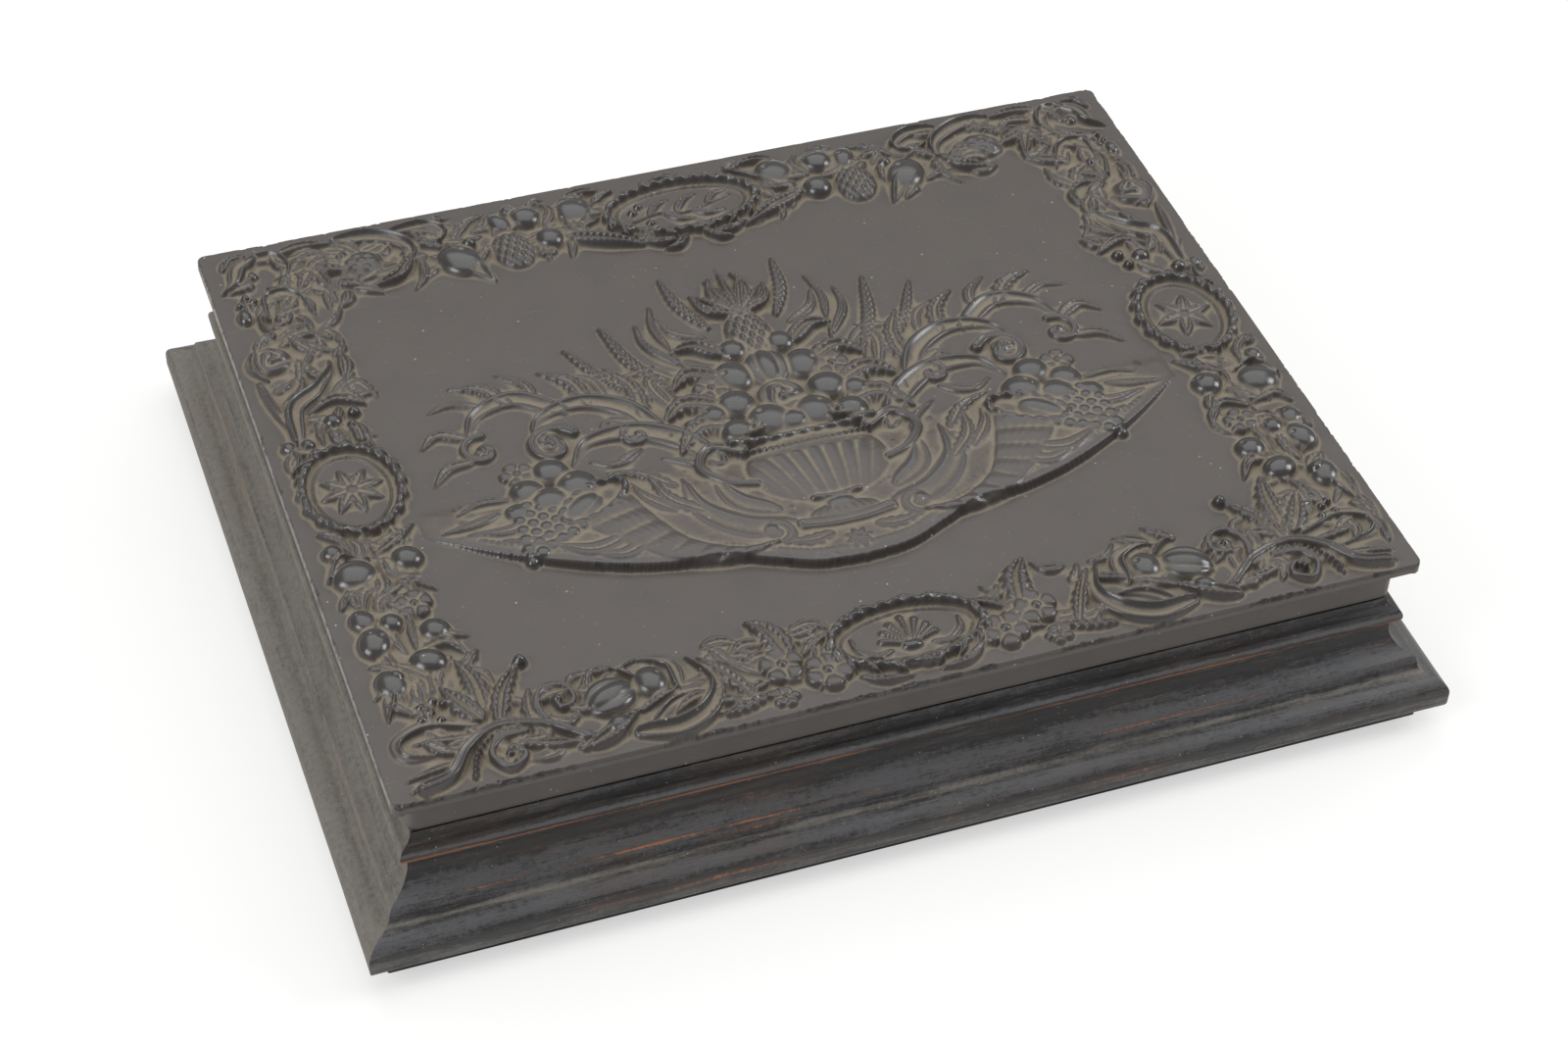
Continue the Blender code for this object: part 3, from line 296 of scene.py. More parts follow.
# Base moulding. Four lengths of planed hardwood moulding, mitred and glued at the corners and
# stained black. The stain has rubbed through to red wood at the arrises, and dust lies in the
# groove under the fillet. Members from the top: rim, cove, fillet, quirk, ovolo, nose, foot.
rim_width = 5.2 * mm
rim_fillet_height = 1.7 * mm
cove_width = 5.3 * mm
cove_height = 6.4 * mm
cove_turn = 78
fillet_batter = 0.6 * mm
fillet_height = 1.9 * mm
quirk_width = 1.3 * mm
quirk_height = 2.0 * mm
ovolo_width = 4.9 * mm
ovolo_height = 4.0 * mm
nose_height = 2.8 * mm
foot_round = (1.9 * mm, 2.2 * mm)
section_step = 0.25 * mm
hidden_step = 2.4 * mm
arris_ease = 0.16 * mm
station_step = 1.6 * mm
mitre_hairline = 0.02 * mm
wobble_depth = 0.10 * mm
wobble_sizes = (31 * mm, 7 * mm)
wobble_fine = 0.3
wobble_fade = 20
seat_gap = 0.3 * mm
leaf_thickness = 0.9 * mm
hinge_length = 30.0 * mm
stain_black = (0.014, 0.0133, 0.0135)
painted_sheen_grey = (0.065, 0.067, 0.072)
warm_stain = (0.062, 0.040, 0.029)
scratch_grey = (0.130, 0.130, 0.132)
bare_wood = (0.265, 0.102, 0.047)
dark_wood = (0.072, 0.032, 0.022)
dust_grey = (0.166, 0.152, 0.127)
speck_white = (0.420, 0.400, 0.360)
sides = ("front", "back", "left", "right")


def held(values):
    """Numbers held between 0 and 1."""
    return np.clip(values, 0, 1)


def hump(distance, power=2):
    """A smooth hump, 1 at no distance: e to the power of minus the distance squared, or minus
    a higher power of it for a flatter top and steeper sides."""
    return np.exp(-distance ** power)


def ripple(along, around, size, seed):
    """Slow waves from -1 to 1: the mean of six sines of random heading, about size long."""
    random = np.random.default_rng(seed)
    heading = random.uniform(0, 2 * np.pi, 6)
    pace = random.uniform(0.6, 1.6, 6) * 2 * np.pi / size
    waves = [np.sin(p * (along * np.cos(h) + around * np.sin(h)) + 9 * h)
             for p, h in zip(pace, heading)]
    return np.mean(waves, 0)


def eased(corners, is_fine, ease):
    """A section's closed outline with points every section_step along its fine sides and every
    hidden_step elsewhere, each moved to the mean of the outline within ease of it."""
    after = np.roll(corners, -1, 0)
    length = np.linalg.norm(after - corners, axis=1)
    ends = np.concatenate([[0], np.cumsum(length)])
    marks = [np.arange(0, size, section_step if fine else hidden_step) + start
             for size, start, fine in zip(length, ends, is_fine)]
    marks = np.concatenate(marks)
    closed = np.concatenate([corners, corners[:1]])
    spread = marks[:, None] + np.linspace(-ease, ease, 9)
    wrapped = spread % ends[-1]
    outline = np.stack([np.interp(wrapped, ends, closed[:, k]).mean(1) for k in (0, 1)], 1)
    return outline, marks


def base_section(low, high):
    """Corners of the base moulding's section, as distance out from its inner face and height."""
    out, height = rim_width, high
    parts = [[(0, low), (0, high)], [(out, high)]]
    height -= rim_fillet_height
    turn = np.radians(cove_turn)
    radii = (cove_width / (1 - np.cos(turn)), cove_height / np.sin(turn))
    parts.append(arc((out + radii[0], height), radii, 180, 180 + cove_turn, 16))
    out, height = out + cove_width + fillet_batter, height - cove_height - fillet_height
    parts.append(arc((out + quirk_width, height), (quirk_width, quirk_height), 180, 270, 6))
    out, height = out + quirk_width, height - quirk_height
    parts.append(arc((out, height - ovolo_height), (ovolo_width, ovolo_height), 80, 0, 10))
    out, height = out + ovolo_width, height - ovolo_height - nose_height
    parts.append(arc((out - foot_round[0], height), foot_round, 0, -90, 8))
    corners = np.concatenate([np.array(part, float) for part in parts])
    hidden = np.zeros(len(corners), bool)
    hidden[[0, -1]] = True
    return corners, ~hidden


def rail(name, node, side, section, inner, marks, body, finish, seats=None):
    """One mitred length: the section carried along the side, each end running out by the
    section's own distance from the inner face. Marks are (out, height, strength, width, kind)
    of worn arrises, dusty grooves, and tone, which paints a sheen on members where its strength
    is above nothing and a shade where it is below. Seats let hinge leaves in: the section's
    points are held above or below a level between each seat's ends."""
    corners, is_fine = section
    outline, travel = eased(corners, is_fine, arris_ease)
    facing = np.roll(outline, -1, 0) - np.roll(outline, 1, 0)
    facing = np.stack([-facing[:, 1], facing[:, 0]], 1) / np.linalg.norm(facing, axis=1)[:, None]
    along_half, across_half = inner if side in ("front", "back") else inner[::-1]
    stations = np.linspace(-1, 1, int(2 * along_half / station_step) + 1)
    if seats:
        ends = np.array([[middle - half, middle + half] for middle, half in seats]).ravel()
        near = ends[:, None] + np.array([-1, 1]) * mitre_hairline / 2
        stations = np.sort(np.concatenate([stations, near.ravel() / along_half]))
    s, k = np.meshgrid(stations, np.arange(len(outline)), indexing="ij")
    out, height = outline[k, 0], outline[k, 1]
    seed = sum(ord(letter) for letter in name)
    dent = ripple(s * along_half, travel[k], wobble_sizes[0], seed) - 1
    fine = ripple(s * along_half, travel[k], wobble_sizes[1], seed + 1)
    dent += fine * wobble_fine - wobble_fine
    fade = held((1 - np.abs(s)) * wobble_fade)
    lean = wobble_depth / 2 * dent * (out > rim_width / 2) * fade
    along = s * (along_half + out - mitre_hairline)
    out = out + lean * facing[k, 0]
    height = height + lean * facing[k, 1]
    if seats:
        level, clip = seats_level[node]
        inside = np.any([np.abs(along - middle) < half for middle, half in seats], 0)
        height = np.where(inside, clip(height, level), height)
    points = np.stack([along, -across_half - out, height], -1)
    turn = {"front": 0, "right": 90, "back": 180, "left": 270}[side]
    cosine, sine = np.cos(np.radians(turn)), np.sin(np.radians(turn))
    points = points @ np.array([[cosine, sine, 0], [-sine, cosine, 0], [0, 0, 1]])
    mesh = loft(name, points)
    kinds = {kind: np.zeros(len(outline)) for kind in ("wear", "dust", "tone")}
    for place_out, place_height, strength, width, kind in marks:
        away = np.hypot(outline[:, 0] - place_out, outline[:, 1] - place_height)
        kinds[kind] += strength * hump(away / width)
    number_points(mesh, **{kind: np.broadcast_to(values, s.shape)
                           for kind, values in kinds.items()})
    lay_flat(mesh, s * along_half, travel[k])
    return piece(mesh, finish, body, [node], 40)


def ebonised(name, side_paling):
    """Black stain over red wood: fibres along the length, blotches of black and of a painted grey
    sheen, painted sheen and painted shade along the members that the tone marks pick, arrises worn
    red where the mark, the fibres and a slow cloud add up, and dust in the grooves. The side's
    paling lays the grey-tan evenly over a whole side."""
    finish = Finish(name)
    fibre = finish.noise(0.36 * mm, 4.0, (0.07, 1.0, 1.0), "UV", 0.7)
    streak = finish.noise(1.2 * mm, 4.0, (0.05, 1.0, 1.0), "UV", 0.6)
    blotch = finish.noise(5.0 * mm, 4.0, (0.28, 1.0, 1.0), "UV", 0.6)
    cloud = finish.noise(24 * mm, 2.0, (0.6, 0.4, 1.0), "UV")
    fine = finish.noise(0.30 * mm, 2.0)
    mottle = finish.noise(1.3 * mm, 3.0, sharp=0.7)
    worn = finish.attribute("wear") + streak.swing(1.1) + cloud.swing(1.9)
    worn = worn + fibre.swing(0.6) + blotch.swing(0.9)
    bare = (worn + fine.swing(0.5) + mottle.swing(1.1)).step(0.62, 0.90)
    hint = worn.step(0.34, 0.70)
    # The dusty share takes the dust marks in the grooves and the side's paling, which is even along
    # the whole side.
    settled = finish.attribute("dust") + blotch.swing(0.9) + streak.swing(1.3) + side_paling
    dusty = (settled + fine.swing(0.5) + fibre.swing(0.8)).step(0.15, 1.10)
    # Painted sheen: where this rises, the grey stands in for the surroundings reflected in the
    # stain, and where it is low the black is painted shade.
    sheen = finish.attribute("tone") + blotch.swing(2.0) + streak.swing(2.0) + 0.44
    sheen = (sheen + fibre.swing(2.2) + fine.swing(1.2) + mottle.swing(1.8)).step(0.0, 1.0)
    warm = (cloud.swing(1.2) + streak.swing(1.6) + fibre.swing(1.2) + 0.5).step(0.35, 0.85)
    scratch = finish.noise(0.22 * mm, 1.0, (0.03, 1.0, 1.0), "UV").step(0.69, 0.74)
    nick = finish.noise(0.30 * mm, 1.0, (1.0, 0.10, 1.0), "UV").step(0.73, 0.77)
    colour = finish.layers(
        stain_black, (sheen, painted_sheen_grey), (warm * 0.42, warm_stain),
        (scratch * 0.35 + nick * 0.25, scratch_grey), (hint * 0.75, dark_wood),
        (bare * 0.95, bare_wood), (dusty * (0.20 + mottle), dust_grey),
        (finish.specks(0.9 * mm, 0.022) * 0.6, speck_white))
    rough = 0.22 + (1.0 - sheen) * 0.06 + fibre * 0.14 + mottle * 0.16 + bare * 0.20 + dusty * 0.30
    grain_height = fibre * 0.8 + streak * 0.5 + fine * 0.4 - scratch * 0.25
    finish.feed(base_color=colour, roughness=rough, normal=finish.bump(grain_height, 0.16 * mm))
    return finish


# Each side's wood has its own extra share of the pale grey-tan laid evenly over it; the left side
# has by far the most and reads paler than the others.
wood = {side: ebonised(f"ebonised_{side}", side_paling)
        for side, side_paling in (("front", 0.02), ("right", 0.16), ("back", 0.16), ("left", 1.00))}
base_low, base_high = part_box("base_moulding_front")
base_inner = (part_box("base_moulding_right")[0].x, -base_high.y)
hinge_middles = [(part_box(f"hinge_{side}_pin")[0].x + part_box(f"hinge_{side}_pin")[1].x) / 2
                 for side in ("left", "right")]
hinge_seats = [(middle, hinge_length / 2 + seat_gap) for middle in hinge_middles]
seats_level = {
    "base_moulding_back": (base_high.z - leaf_thickness - seat_gap, np.minimum),
    "lid_rail_back": (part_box("lid_rail_front")[0].z + leaf_thickness + seat_gap, np.maximum),
}
section = base_section(base_low.z, base_high.z)
fillet_out = rim_width + cove_width + fillet_batter
fillet_foot = base_high.z - rim_fillet_height - cove_height - fillet_height
nose_out = fillet_out + quirk_width + ovolo_width
nose_top = fillet_foot - quirk_height - ovolo_height
# Marks of the kind tone are painted light: painted shade at the cove's top under the rim and on the
# ovolo's lower half, and painted sheen on the lower cove and the ovolo's top.
base_marks = [
    (fillet_out - fillet_batter, fillet_foot + fillet_height, 0.68, 0.40 * mm, "wear"),
    (fillet_out + 0.1 * mm, fillet_foot, 0.34, 0.4 * mm, "wear"),
    (nose_out, nose_top, 0.42, 0.9 * mm, "wear"),
    (nose_out - foot_round[0] / 3, nose_top - nose_height - foot_round[1] / 2, 0.34, 0.8 * mm,
     "wear"),
    (rim_width, base_high.z, 0.38, 0.4 * mm, "wear"),
    (fillet_out + quirk_width * 0.6, fillet_foot - quirk_height, 0.72, 1.0 * mm, "dust"),
    (fillet_out + quirk_width * 2, fillet_foot - quirk_height * 1.1, 0.25, 1.1 * mm, "dust"),
    (nose_out, nose_top - nose_height * 0.6, 0.42, 1.5 * mm, "dust"),
    (rim_width, base_high.z - rim_fillet_height / 2, 0.40, 0.9 * mm, "dust"),
    (rim_width + 0.2 * mm, base_high.z - rim_fillet_height - cove_height * 0.25, -0.80, 2.2 * mm,
     "tone"),
    (fillet_out - 1.8 * mm, fillet_foot + fillet_height + 0.8 * mm, 0.55, 2.4 * mm, "tone"),
    (nose_out - ovolo_width * 0.5, nose_top + ovolo_height * 0.8, 0.60, 1.9 * mm, "tone"),
    (nose_out - 0.2 * mm, nose_top + ovolo_height * 0.1, -0.70, 1.3 * mm, "tone"),
]
for side in sides:
    rail(f"moulding_{side}", f"base_moulding_{side}", side, section, base_inner, base_marks,
         "base", wood[side], hinge_seats if side == "back" else None)

# Ledgers, backing board and the card behind the lid's pad. Plain softwood strips and board,
# glued in place and seen only where a lining or the pad is lifted.
deal_pale = (0.400, 0.290, 0.170)
deal_dark = (0.230, 0.145, 0.075)
deal = Finish("deal", roughness=0.74)
rings = deal.noise(1.6 * mm, 3.0, (0.03, 1.0, 1.0))
deal.feed(base_color=deal.blend(rings.step(0.35, 0.75), deal_pale, deal_dark),
          normal=deal.bump(rings, 0.12 * mm))
for name in (*(f"ledger_{side}" for side in sides), "backing_board", "pad_board"):
    board = frame["nodes"][name]
    board.data.materials.clear()
    board.data.materials.append(deal.material)

# Well linings. Strips of card covered in crimson cotton velvet, with the velvet turned over
# their top edge, stand between the wood and the picture packet.
velvet_red = (0.160, 0.010, 0.018)
velvet_deep = (0.105, 0.007, 0.013)
velvet_worn = (0.260, 0.050, 0.045)
pile_sheen = (0.95, 0.55, 0.50)
lining_round = 0.5 * mm


def velvet(name):
    """Cotton pile: a sheen at the edges, brushed patches and a fine nap."""
    finish = Finish(name, roughness=0.92, sheen_weight=0.55, sheen_roughness=0.35,
                    sheen_tint=pile_sheen)
    brushed = finish.noise(14 * mm, 3.0)
    nap = finish.noise(0.28 * mm, 2.0)
    thin = finish.noise(5 * mm, 4.0).step(0.62, 0.80)
    colour = finish.layers(velvet_deep, (brushed.step(0.30, 0.70), velvet_red),
                           (thin * 0.5 + nap * 0.18, velvet_worn))
    finish.feed(base_color=colour, normal=finish.bump(nap, 0.25 * mm))
    return finish


lining_velvet = velvet("lining_velvet")
for side in sides:
    low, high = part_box(f"well_lining_{side}")
    mesh = slab(f"velvet_lining_{side}", low, high, lining_round)
    piece(mesh, lining_velvet, "base", [f"well_lining_{side}"])

# Picture packet. A blank japanned plate, a brass mat with a bevelled oval window, a sheet of
# glass, and a thin embossed brass preserver folded round all three to hold them together.
plate_ease = 0.3 * mm
glass_ease = 0.25 * mm
mat_margins = (30.0 * mm, 24.0 * mm)
mat_rays = 360
tiny = 1e-9
mat_shaped_reach, mat_shaped_rings = 7 * mm, 36
mat_most_share = 0.9
mat_flat_start = 12 * mm
mat_bevel = 1.6 * mm
mat_bead_place = 4.2 * mm
mat_bead_width = 0.7 * mm
mat_bead_height = 0.16 * mm
mat_edge = 0.12 * mm
plate_dark = (0.022, 0.024, 0.029)
plate_grey = (0.060, 0.062, 0.066)
plate_brown = (0.085, 0.060, 0.040)
brass_bright = (0.780, 0.560, 0.220)
brass_dull = (0.600, 0.405, 0.150)
brass_spot = (0.160, 0.105, 0.050)

japanned = Finish("japanned_plate", metallic=0.35)
mottle = japanned.noise(22 * mm, 5.0)
haze = japanned.noise(2.5 * mm, 3.0)
tone = japanned.layers(plate_dark, (mottle.step(0.35, 0.75), plate_grey),
                       ((mottle * haze).step(0.36, 0.52) * 0.6, plate_brown))
japanned.feed(base_color=tone, roughness=0.22 + haze * 0.20)
piece(slab("blank_plate", *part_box("picture_plate"), plate_ease), japanned, "base",
      ["picture_plate"])


def brass(name, grain_size, grain_depth):
    """Lacquered sheet brass: dulled patches, a few dark spots and a pressed or drawn surface."""
    finish = Finish(name, metallic=1.0)
    patch = finish.noise(9 * mm, 4.0)
    pressed = finish.noise(grain_size, 2.0)
    colour = finish.layers(brass_bright, (patch.step(0.35, 0.72), brass_dull),
                           (finish.specks(2.2 * mm, 0.05) * 0.6, brass_spot))
    finish.feed(base_color=colour, roughness=0.28 + patch * 0.12,
                normal=finish.bump(pressed, grain_depth))
    return finish


def mat_mesh(low, high):
    """Rings from the oval window out to the rectangle and back underneath. Each ring is a blend
    of ellipse and rectangle along rays from the middle; heights are a bevel and a bead."""
    middle, half = (low + high) / 2, (high - low) / 2
    ray = circle(np.arange(mat_rays) * 2 * np.pi / mat_rays)
    window = ray * (half.x - mat_margins[0], half.y - mat_margins[1])
    reach = (half.x, half.y) / np.maximum(np.abs(ray), tiny)
    border = ray * reach.min(1)[:, None]
    span = np.linalg.norm(border - window, axis=1)[:, None]
    flat = high.z - mat_bead_height
    rings = []
    for step in [*np.linspace(0, mat_shaped_reach, mat_shaped_rings), mat_flat_start]:
        plan = window + (border - window) * np.minimum(step / span, mat_most_share)
        rise = low.z + mat_edge + (flat - low.z - mat_edge) * min(1, step / mat_bevel)
        bead = mat_bead_height * hump((step - mat_bead_place) / mat_bead_width, 4)
        rings.append(at_height(plan, rise + bead))
    for share, level in ((0.97, flat), (1.0, flat), (1.0, low.z), (0.5, low.z), (0.0, low.z)):
        rings.append(at_height(window + (border - window) * share, level))
    points = np.concatenate(rings) + (middle.x, middle.y, 0)
    faces = grid_faces(len(rings), mat_rays, wrap_rows=True, wrap_columns=True)
    return mesh_of("pebbled_mat", points, faces[:, ::-1])


pebbled = brass("pebbled_brass", 0.7 * mm, 0.10 * mm)
piece(mat_mesh(*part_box("mat")), pebbled, "base", ["mat"], 30)

clear_glass = Finish("clear_glass", base_color=(0.93, 0.97, 0.96), roughness=0.03,
                     transmission_weight=1.0)
in_shadow = clear_glass.node("LightPath", {}, {}, "Is Shadow Ray")
clear_glass.feed(alpha=1.0 - in_shadow * 0.9)
piece(slab("packet_glass", *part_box("cover_glass"), glass_ease), clear_glass, "base",
      ["cover_glass"])

preserver_wall = 0.5 * mm
preserver_lip = 5.0 * mm
preserver_corner = 1.0 * mm
rope_pitch = 2.4 * mm
rope_depth = 0.28 * mm
rope_slant = 1.2
rope_place, rope_spread = 0.38, 0.24
lip_rim_place, lip_rim_spread, lip_rim_share = 0.80, 0.07, 0.8
lip_lines = (0.08, 0.92, 15)


def preserver_mesh(low, high):
    """A channel section carried round the packet. On its lip a rope is embossed: the level
    falls by half a cosine of the distance along, turned by the distance across."""
    top = [(-preserver_lip * share, high.z) for share in np.linspace(*lip_lines)]
    section = np.array([
        (0, low.z), (0, high.z - preserver_wall / 2), *top, (-preserver_lip, high.z - 0.2 * mm),
        (-preserver_lip, high.z - preserver_wall), (-preserver_wall, high.z - preserver_wall),
        (-preserver_wall, low.z + preserver_wall), (-preserver_lip, low.z + preserver_wall),
        (-preserver_lip, low.z)])
    half = (high - low) / 2
    outline = rounded_outline(half.x, half.y, preserver_corner, 8, 280)
    inward = outline / np.array([half.x, half.y])
    inward = np.sign(inward) * (np.abs(inward) > 1 - preserver_corner / half.y)
    travel = np.cumsum(np.linalg.norm(np.roll(outline, 1, 0) - outline, axis=1))
    plan = outline[:, None, :] + inward[:, None, :] * section[None, :, 0, None]
    level = np.broadcast_to(section[None, :, 1], plan.shape[:2]).copy()
    share = -section[:, 0] / preserver_lip
    turns = travel[:, None] / rope_pitch + share * rope_slant
    rope = 0.5 - 0.5 * np.cos(2 * np.pi * turns)
    band = hump((share - rope_place) / rope_spread, 4)
    rim = hump((share - lip_rim_place) / lip_rim_spread)
    level -= (rope * band + rim * lip_rim_share) * (section[:, 1] == high.z) * rope_depth
    middle = (low + high) / 2
    points = np.concatenate([plan + (middle.x, middle.y), level[..., None]], -1)
    faces = grid_faces(*plan.shape[:2], wrap_rows=True, wrap_columns=True)
    return mesh_of("rope_preserver", points.reshape(-1, 3), faces)


gilt = brass("preserver_brass", 0.5 * mm, 0.02 * mm)
piece(preserver_mesh(*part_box("preserver")), gilt, "base", ["preserver"], 30)

# Hinges. Two small drawn brass butts let into the back rails, each with two leaves, a pin
# through their knuckles and three countersunk slotted screws in each leaf.
leaf_ease = 0.12 * mm
screw_sides = 40
screw_head_radius = 1.2 * mm
screw_head_depth = 0.6 * mm
screw_shank_radius = 0.6 * mm
screw_head_rings = (0.05, 1, 14)
screw_taper_start, screw_point_share = 0.7, 0.1
slot_half_width = 0.19 * mm
slot_depth = 0.32 * mm
screw_seed = 7
drawn_brass = brass("drawn_brass", 0.4 * mm, 0.03 * mm)


def copied(node, name):
    """A merged copy of a CAD node's mesh with a small bevel along its sharp edges."""
    shape = bmesh.new()
    shape.from_mesh(frame["nodes"][node].data)
    bmesh.ops.remove_doubles(shape, verts=shape.verts, dist=0.001 * mm)
    bmesh.ops.dissolve_limit(shape, angle_limit=np.radians(1), verts=shape.verts,
                             edges=shape.edges)
    mesh = bpy.data.meshes.new(name)
    shape.to_mesh(mesh)
    shape.free()
    made = piece(mesh, drawn_brass, frame["nodes"][node]["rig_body"], [node], 30)
    bevel = made.modifiers.new("ease", "BEVEL")
    bevel.width = leaf_ease
    bevel.segments = 2
    bevel.limit_method = "ANGLE"
    bevel.angle_limit = np.radians(40)


def screw_mesh(name, low, high, head_up, turn):
    """Rings from the slotted head to the point. The head's rings are close together, and
    points within the slot's half width of a turned line across it are let down."""
    around = np.arange(screw_sides) * 2 * np.pi / screw_sides
    length = high.z - low.z
    head = [(radius, 0.0) for radius in np.linspace(*screw_head_rings) * screw_head_radius]
    tail = [(screw_shank_radius, screw_head_depth),
            (screw_shank_radius, length * screw_taper_start),
            (screw_shank_radius * screw_point_share, length)]
    rings = []
    for radius, depth in head + tail:
        x, y = radius * np.cos(around), radius * np.sin(around)
        cut = np.abs(x * np.sin(turn) - y * np.cos(turn)) < slot_half_width
        let_down = depth + slot_depth * cut * (depth == 0) * (radius < screw_head_radius * 0.99)
        rings.append(np.stack([x, y, -let_down], 1))
    rings = np.array(rings)[::-1]
    middle = (low + high) / 2
    if not head_up:
        rings[..., 2] *= -1
        rings = rings[:, ::-1]
    return loft(name, rings + (middle.x, middle.y, high.z if head_up else low.z))


random = np.random.default_rng(screw_seed)
for side in ("left", "right"):
    for part in ("base_leaf", "lid_leaf", "pin"):
        copied(f"hinge_{side}_{part}", f"butt_{side}_{part}")
    for body in ("base", "lid"):
        for count in (1, 2, 3):
            node = f"hinge_{side}_{body}_screw_{count}"
            mesh = screw_mesh(f"slotted_{side}_{body}_{count}", *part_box(node), body == "base",
                              random.uniform(0, np.pi))
            piece(mesh, drawn_brass, body, [node], 30)

# Lid frame. Four thinner mitred lengths with a bead below and a cove above, glued under the
# cover's band. Its lower front arris is where fingers lift the lid, so the stain is gone there.
bead_height = 3.8 * mm
bead_depth = 2.0 * mm
bead_turn = 55
lid_cove_height = 2.4 * mm
shoulder_setback = 4.4 * mm
nose_setback = 1.2 * mm
tongue_thickness = 4.0 * mm


def lid_section(low, high, face):
    """Corners of the lid frame's section: bead, cove, shoulder and tongue."""
    nose, shoulder = face - nose_setback, face - shoulder_setback
    top = low + bead_height + lid_cove_height
    radii = (bead_depth, bead_height / 2 / np.sin(np.radians(bead_turn)))
    bead = arc((nose - bead_depth, low + bead_height / 2), radii, -bead_turn, bead_turn, 14)
    cove = arc((bead[-1][0], top), (bead[-1][0] - shoulder, lid_cove_height), 270, 180, 8)
    tongue = [(tongue_thickness, top), (tongue_thickness, high), (0, high)]
    parts = [[(0, low)], bead, cove[1:], tongue]
    corners = np.concatenate([np.array(part, float) for part in parts])
    is_fine = np.ones(len(corners), bool)
    is_fine[[0, -1, -2, -3, -4]] = False
    return corners, is_fine


rail_low, rail_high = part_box("lid_rail_front")
cover_low, cover_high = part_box("cover")
lid_inner = (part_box("lid_rail_right")[0].x, -rail_high.y)
lid_face = cover_high.x - lid_inner[0]
section = lid_section(rail_low.z, rail_high.z, lid_face)
lid_nose = lid_face - nose_setback
# Marks of the kind tone are painted light: a painted highlight along the bead, and painted shade in
# the cove above it under the cover's band and on the bead's lower half.
lid_marks = [
    (lid_nose - 0.15 * mm, rail_low.z + bead_height * 0.26, 0.90, 0.55 * mm, "wear"),
    (lid_nose - 0.6 * mm, rail_low.z + bead_height * 0.06, 0.50, 0.60 * mm, "wear"),
    (lid_nose - 1.2 * mm, rail_low.z + bead_height + 0.2 * mm, 0.30, 0.6 * mm, "dust"),
    (lid_nose, rail_low.z + bead_height * 0.70, 0.90, 0.55 * mm, "tone"),
    (lid_nose - 1.0 * mm, rail_low.z + bead_height + 0.9 * mm, -1.00, 1.4 * mm, "tone"),
    (lid_nose, rail_low.z + bead_height * 0.3, -0.90, 0.9 * mm, "tone"),
]
quiet_marks = [(out, height, strength * 0.55, width, kind)
               for out, height, strength, width, kind in lid_marks]
for side in sides:
    rail(f"lid_frame_{side}", f"lid_rail_{side}", side, section, lid_inner,
         lid_marks if side == "front" else quiet_marks, "lid", wood[side],
         hinge_seats if side == "back" else None)

# Lid pad. Cotton wadding on card under crimson velvet, with an oval channel stamped in it. It
# hangs face down in the lid and lies just over the packet when the case is shut.
pad_tuck = 1.4 * mm
pad_sides = 96
pad_power = 9
pad_dome = 0.30
pad_grid = 4.5 * mm
pad_pressure = 4.0
pad_frames = 20
pad_cap = 3.0 * mm
channel_share = 0.66
channel_width = 3.2 * mm
channel_depth = 1.5 * mm
nap_depth = 0.12 * mm
nap_size = 9 * mm
stamp_sectors = 90
stamp_power = 12


def pad_block(name, low, high):
    """A soft block: a box whose outline is drawn in at the corners by a power of nine, and
    whose underside is domed by the square of the distance from its middle."""
    middle, half = (low + high) / 2, (high - low) / 2
    ray = circle(np.arange(pad_sides) * 2 * np.pi / pad_sides)
    reach = (np.abs(ray) ** pad_power).sum(1) ** (-1 / pad_power)
    plan = ray * reach[:, None] * (half.x - pad_tuck, half.y - pad_tuck)
    rings = [at_height(plan * share, high.z - pad_tuck / 2)
             for share in (0.25, 0.5, 0.75, 0.9, 0.97, 1.0)]
    rings += [at_height(plan * share, low.z + pad_tuck + (high.z - low.z) * pad_dome * share ** 2)
              for share in (1.0, 0.97, 0.9, 0.8, 0.65, 0.5, 0.3, 0.1)]
    return loft(name, (np.array(rings) + (middle.x, middle.y, 0))[::-1])


def plump(obj):
    """Swell the pad as cloth under pressure, and keep each point near where it started."""
    remesh = obj.modifiers.new("even", "REMESH")
    remesh.mode = "VOXEL"
    remesh.voxel_size = pad_grid
    graph = bpy.context.evaluated_depsgraph_get()
    obj.data = bpy.data.meshes.new_from_object(obj.evaluated_get(graph))
    obj.modifiers.clear()
    start = np.zeros(len(obj.data.vertices) * 3, np.float32)
    obj.data.vertices.foreach_get("co", start)
    cloth = obj.modifiers.new("stuffing", "CLOTH")
    cloth.settings.use_pressure = True
    cloth.settings.uniform_pressure_force = pad_pressure
    cloth.settings.effector_weights.gravity = 0.0
    scene = bpy.context.scene
    for count in range(1, pad_frames + 1):
        scene.frame_set(count)
    graph = bpy.context.evaluated_depsgraph_get()
    swollen = bpy.data.meshes.new_from_object(obj.evaluated_get(graph))
    obj.modifiers.clear()
    scene.frame_set(1)
    end = np.zeros_like(start)
    swollen.vertices.foreach_get("co", end)
    move = (end - start).reshape(-1, 3)
    size = np.linalg.norm(move, axis=1, keepdims=True)
    move *= np.minimum(1, pad_cap / np.maximum(size, tiny))
    obj.data.vertices.foreach_set("co", (start.reshape(-1, 3) + move).ravel())
    obj.data.update()


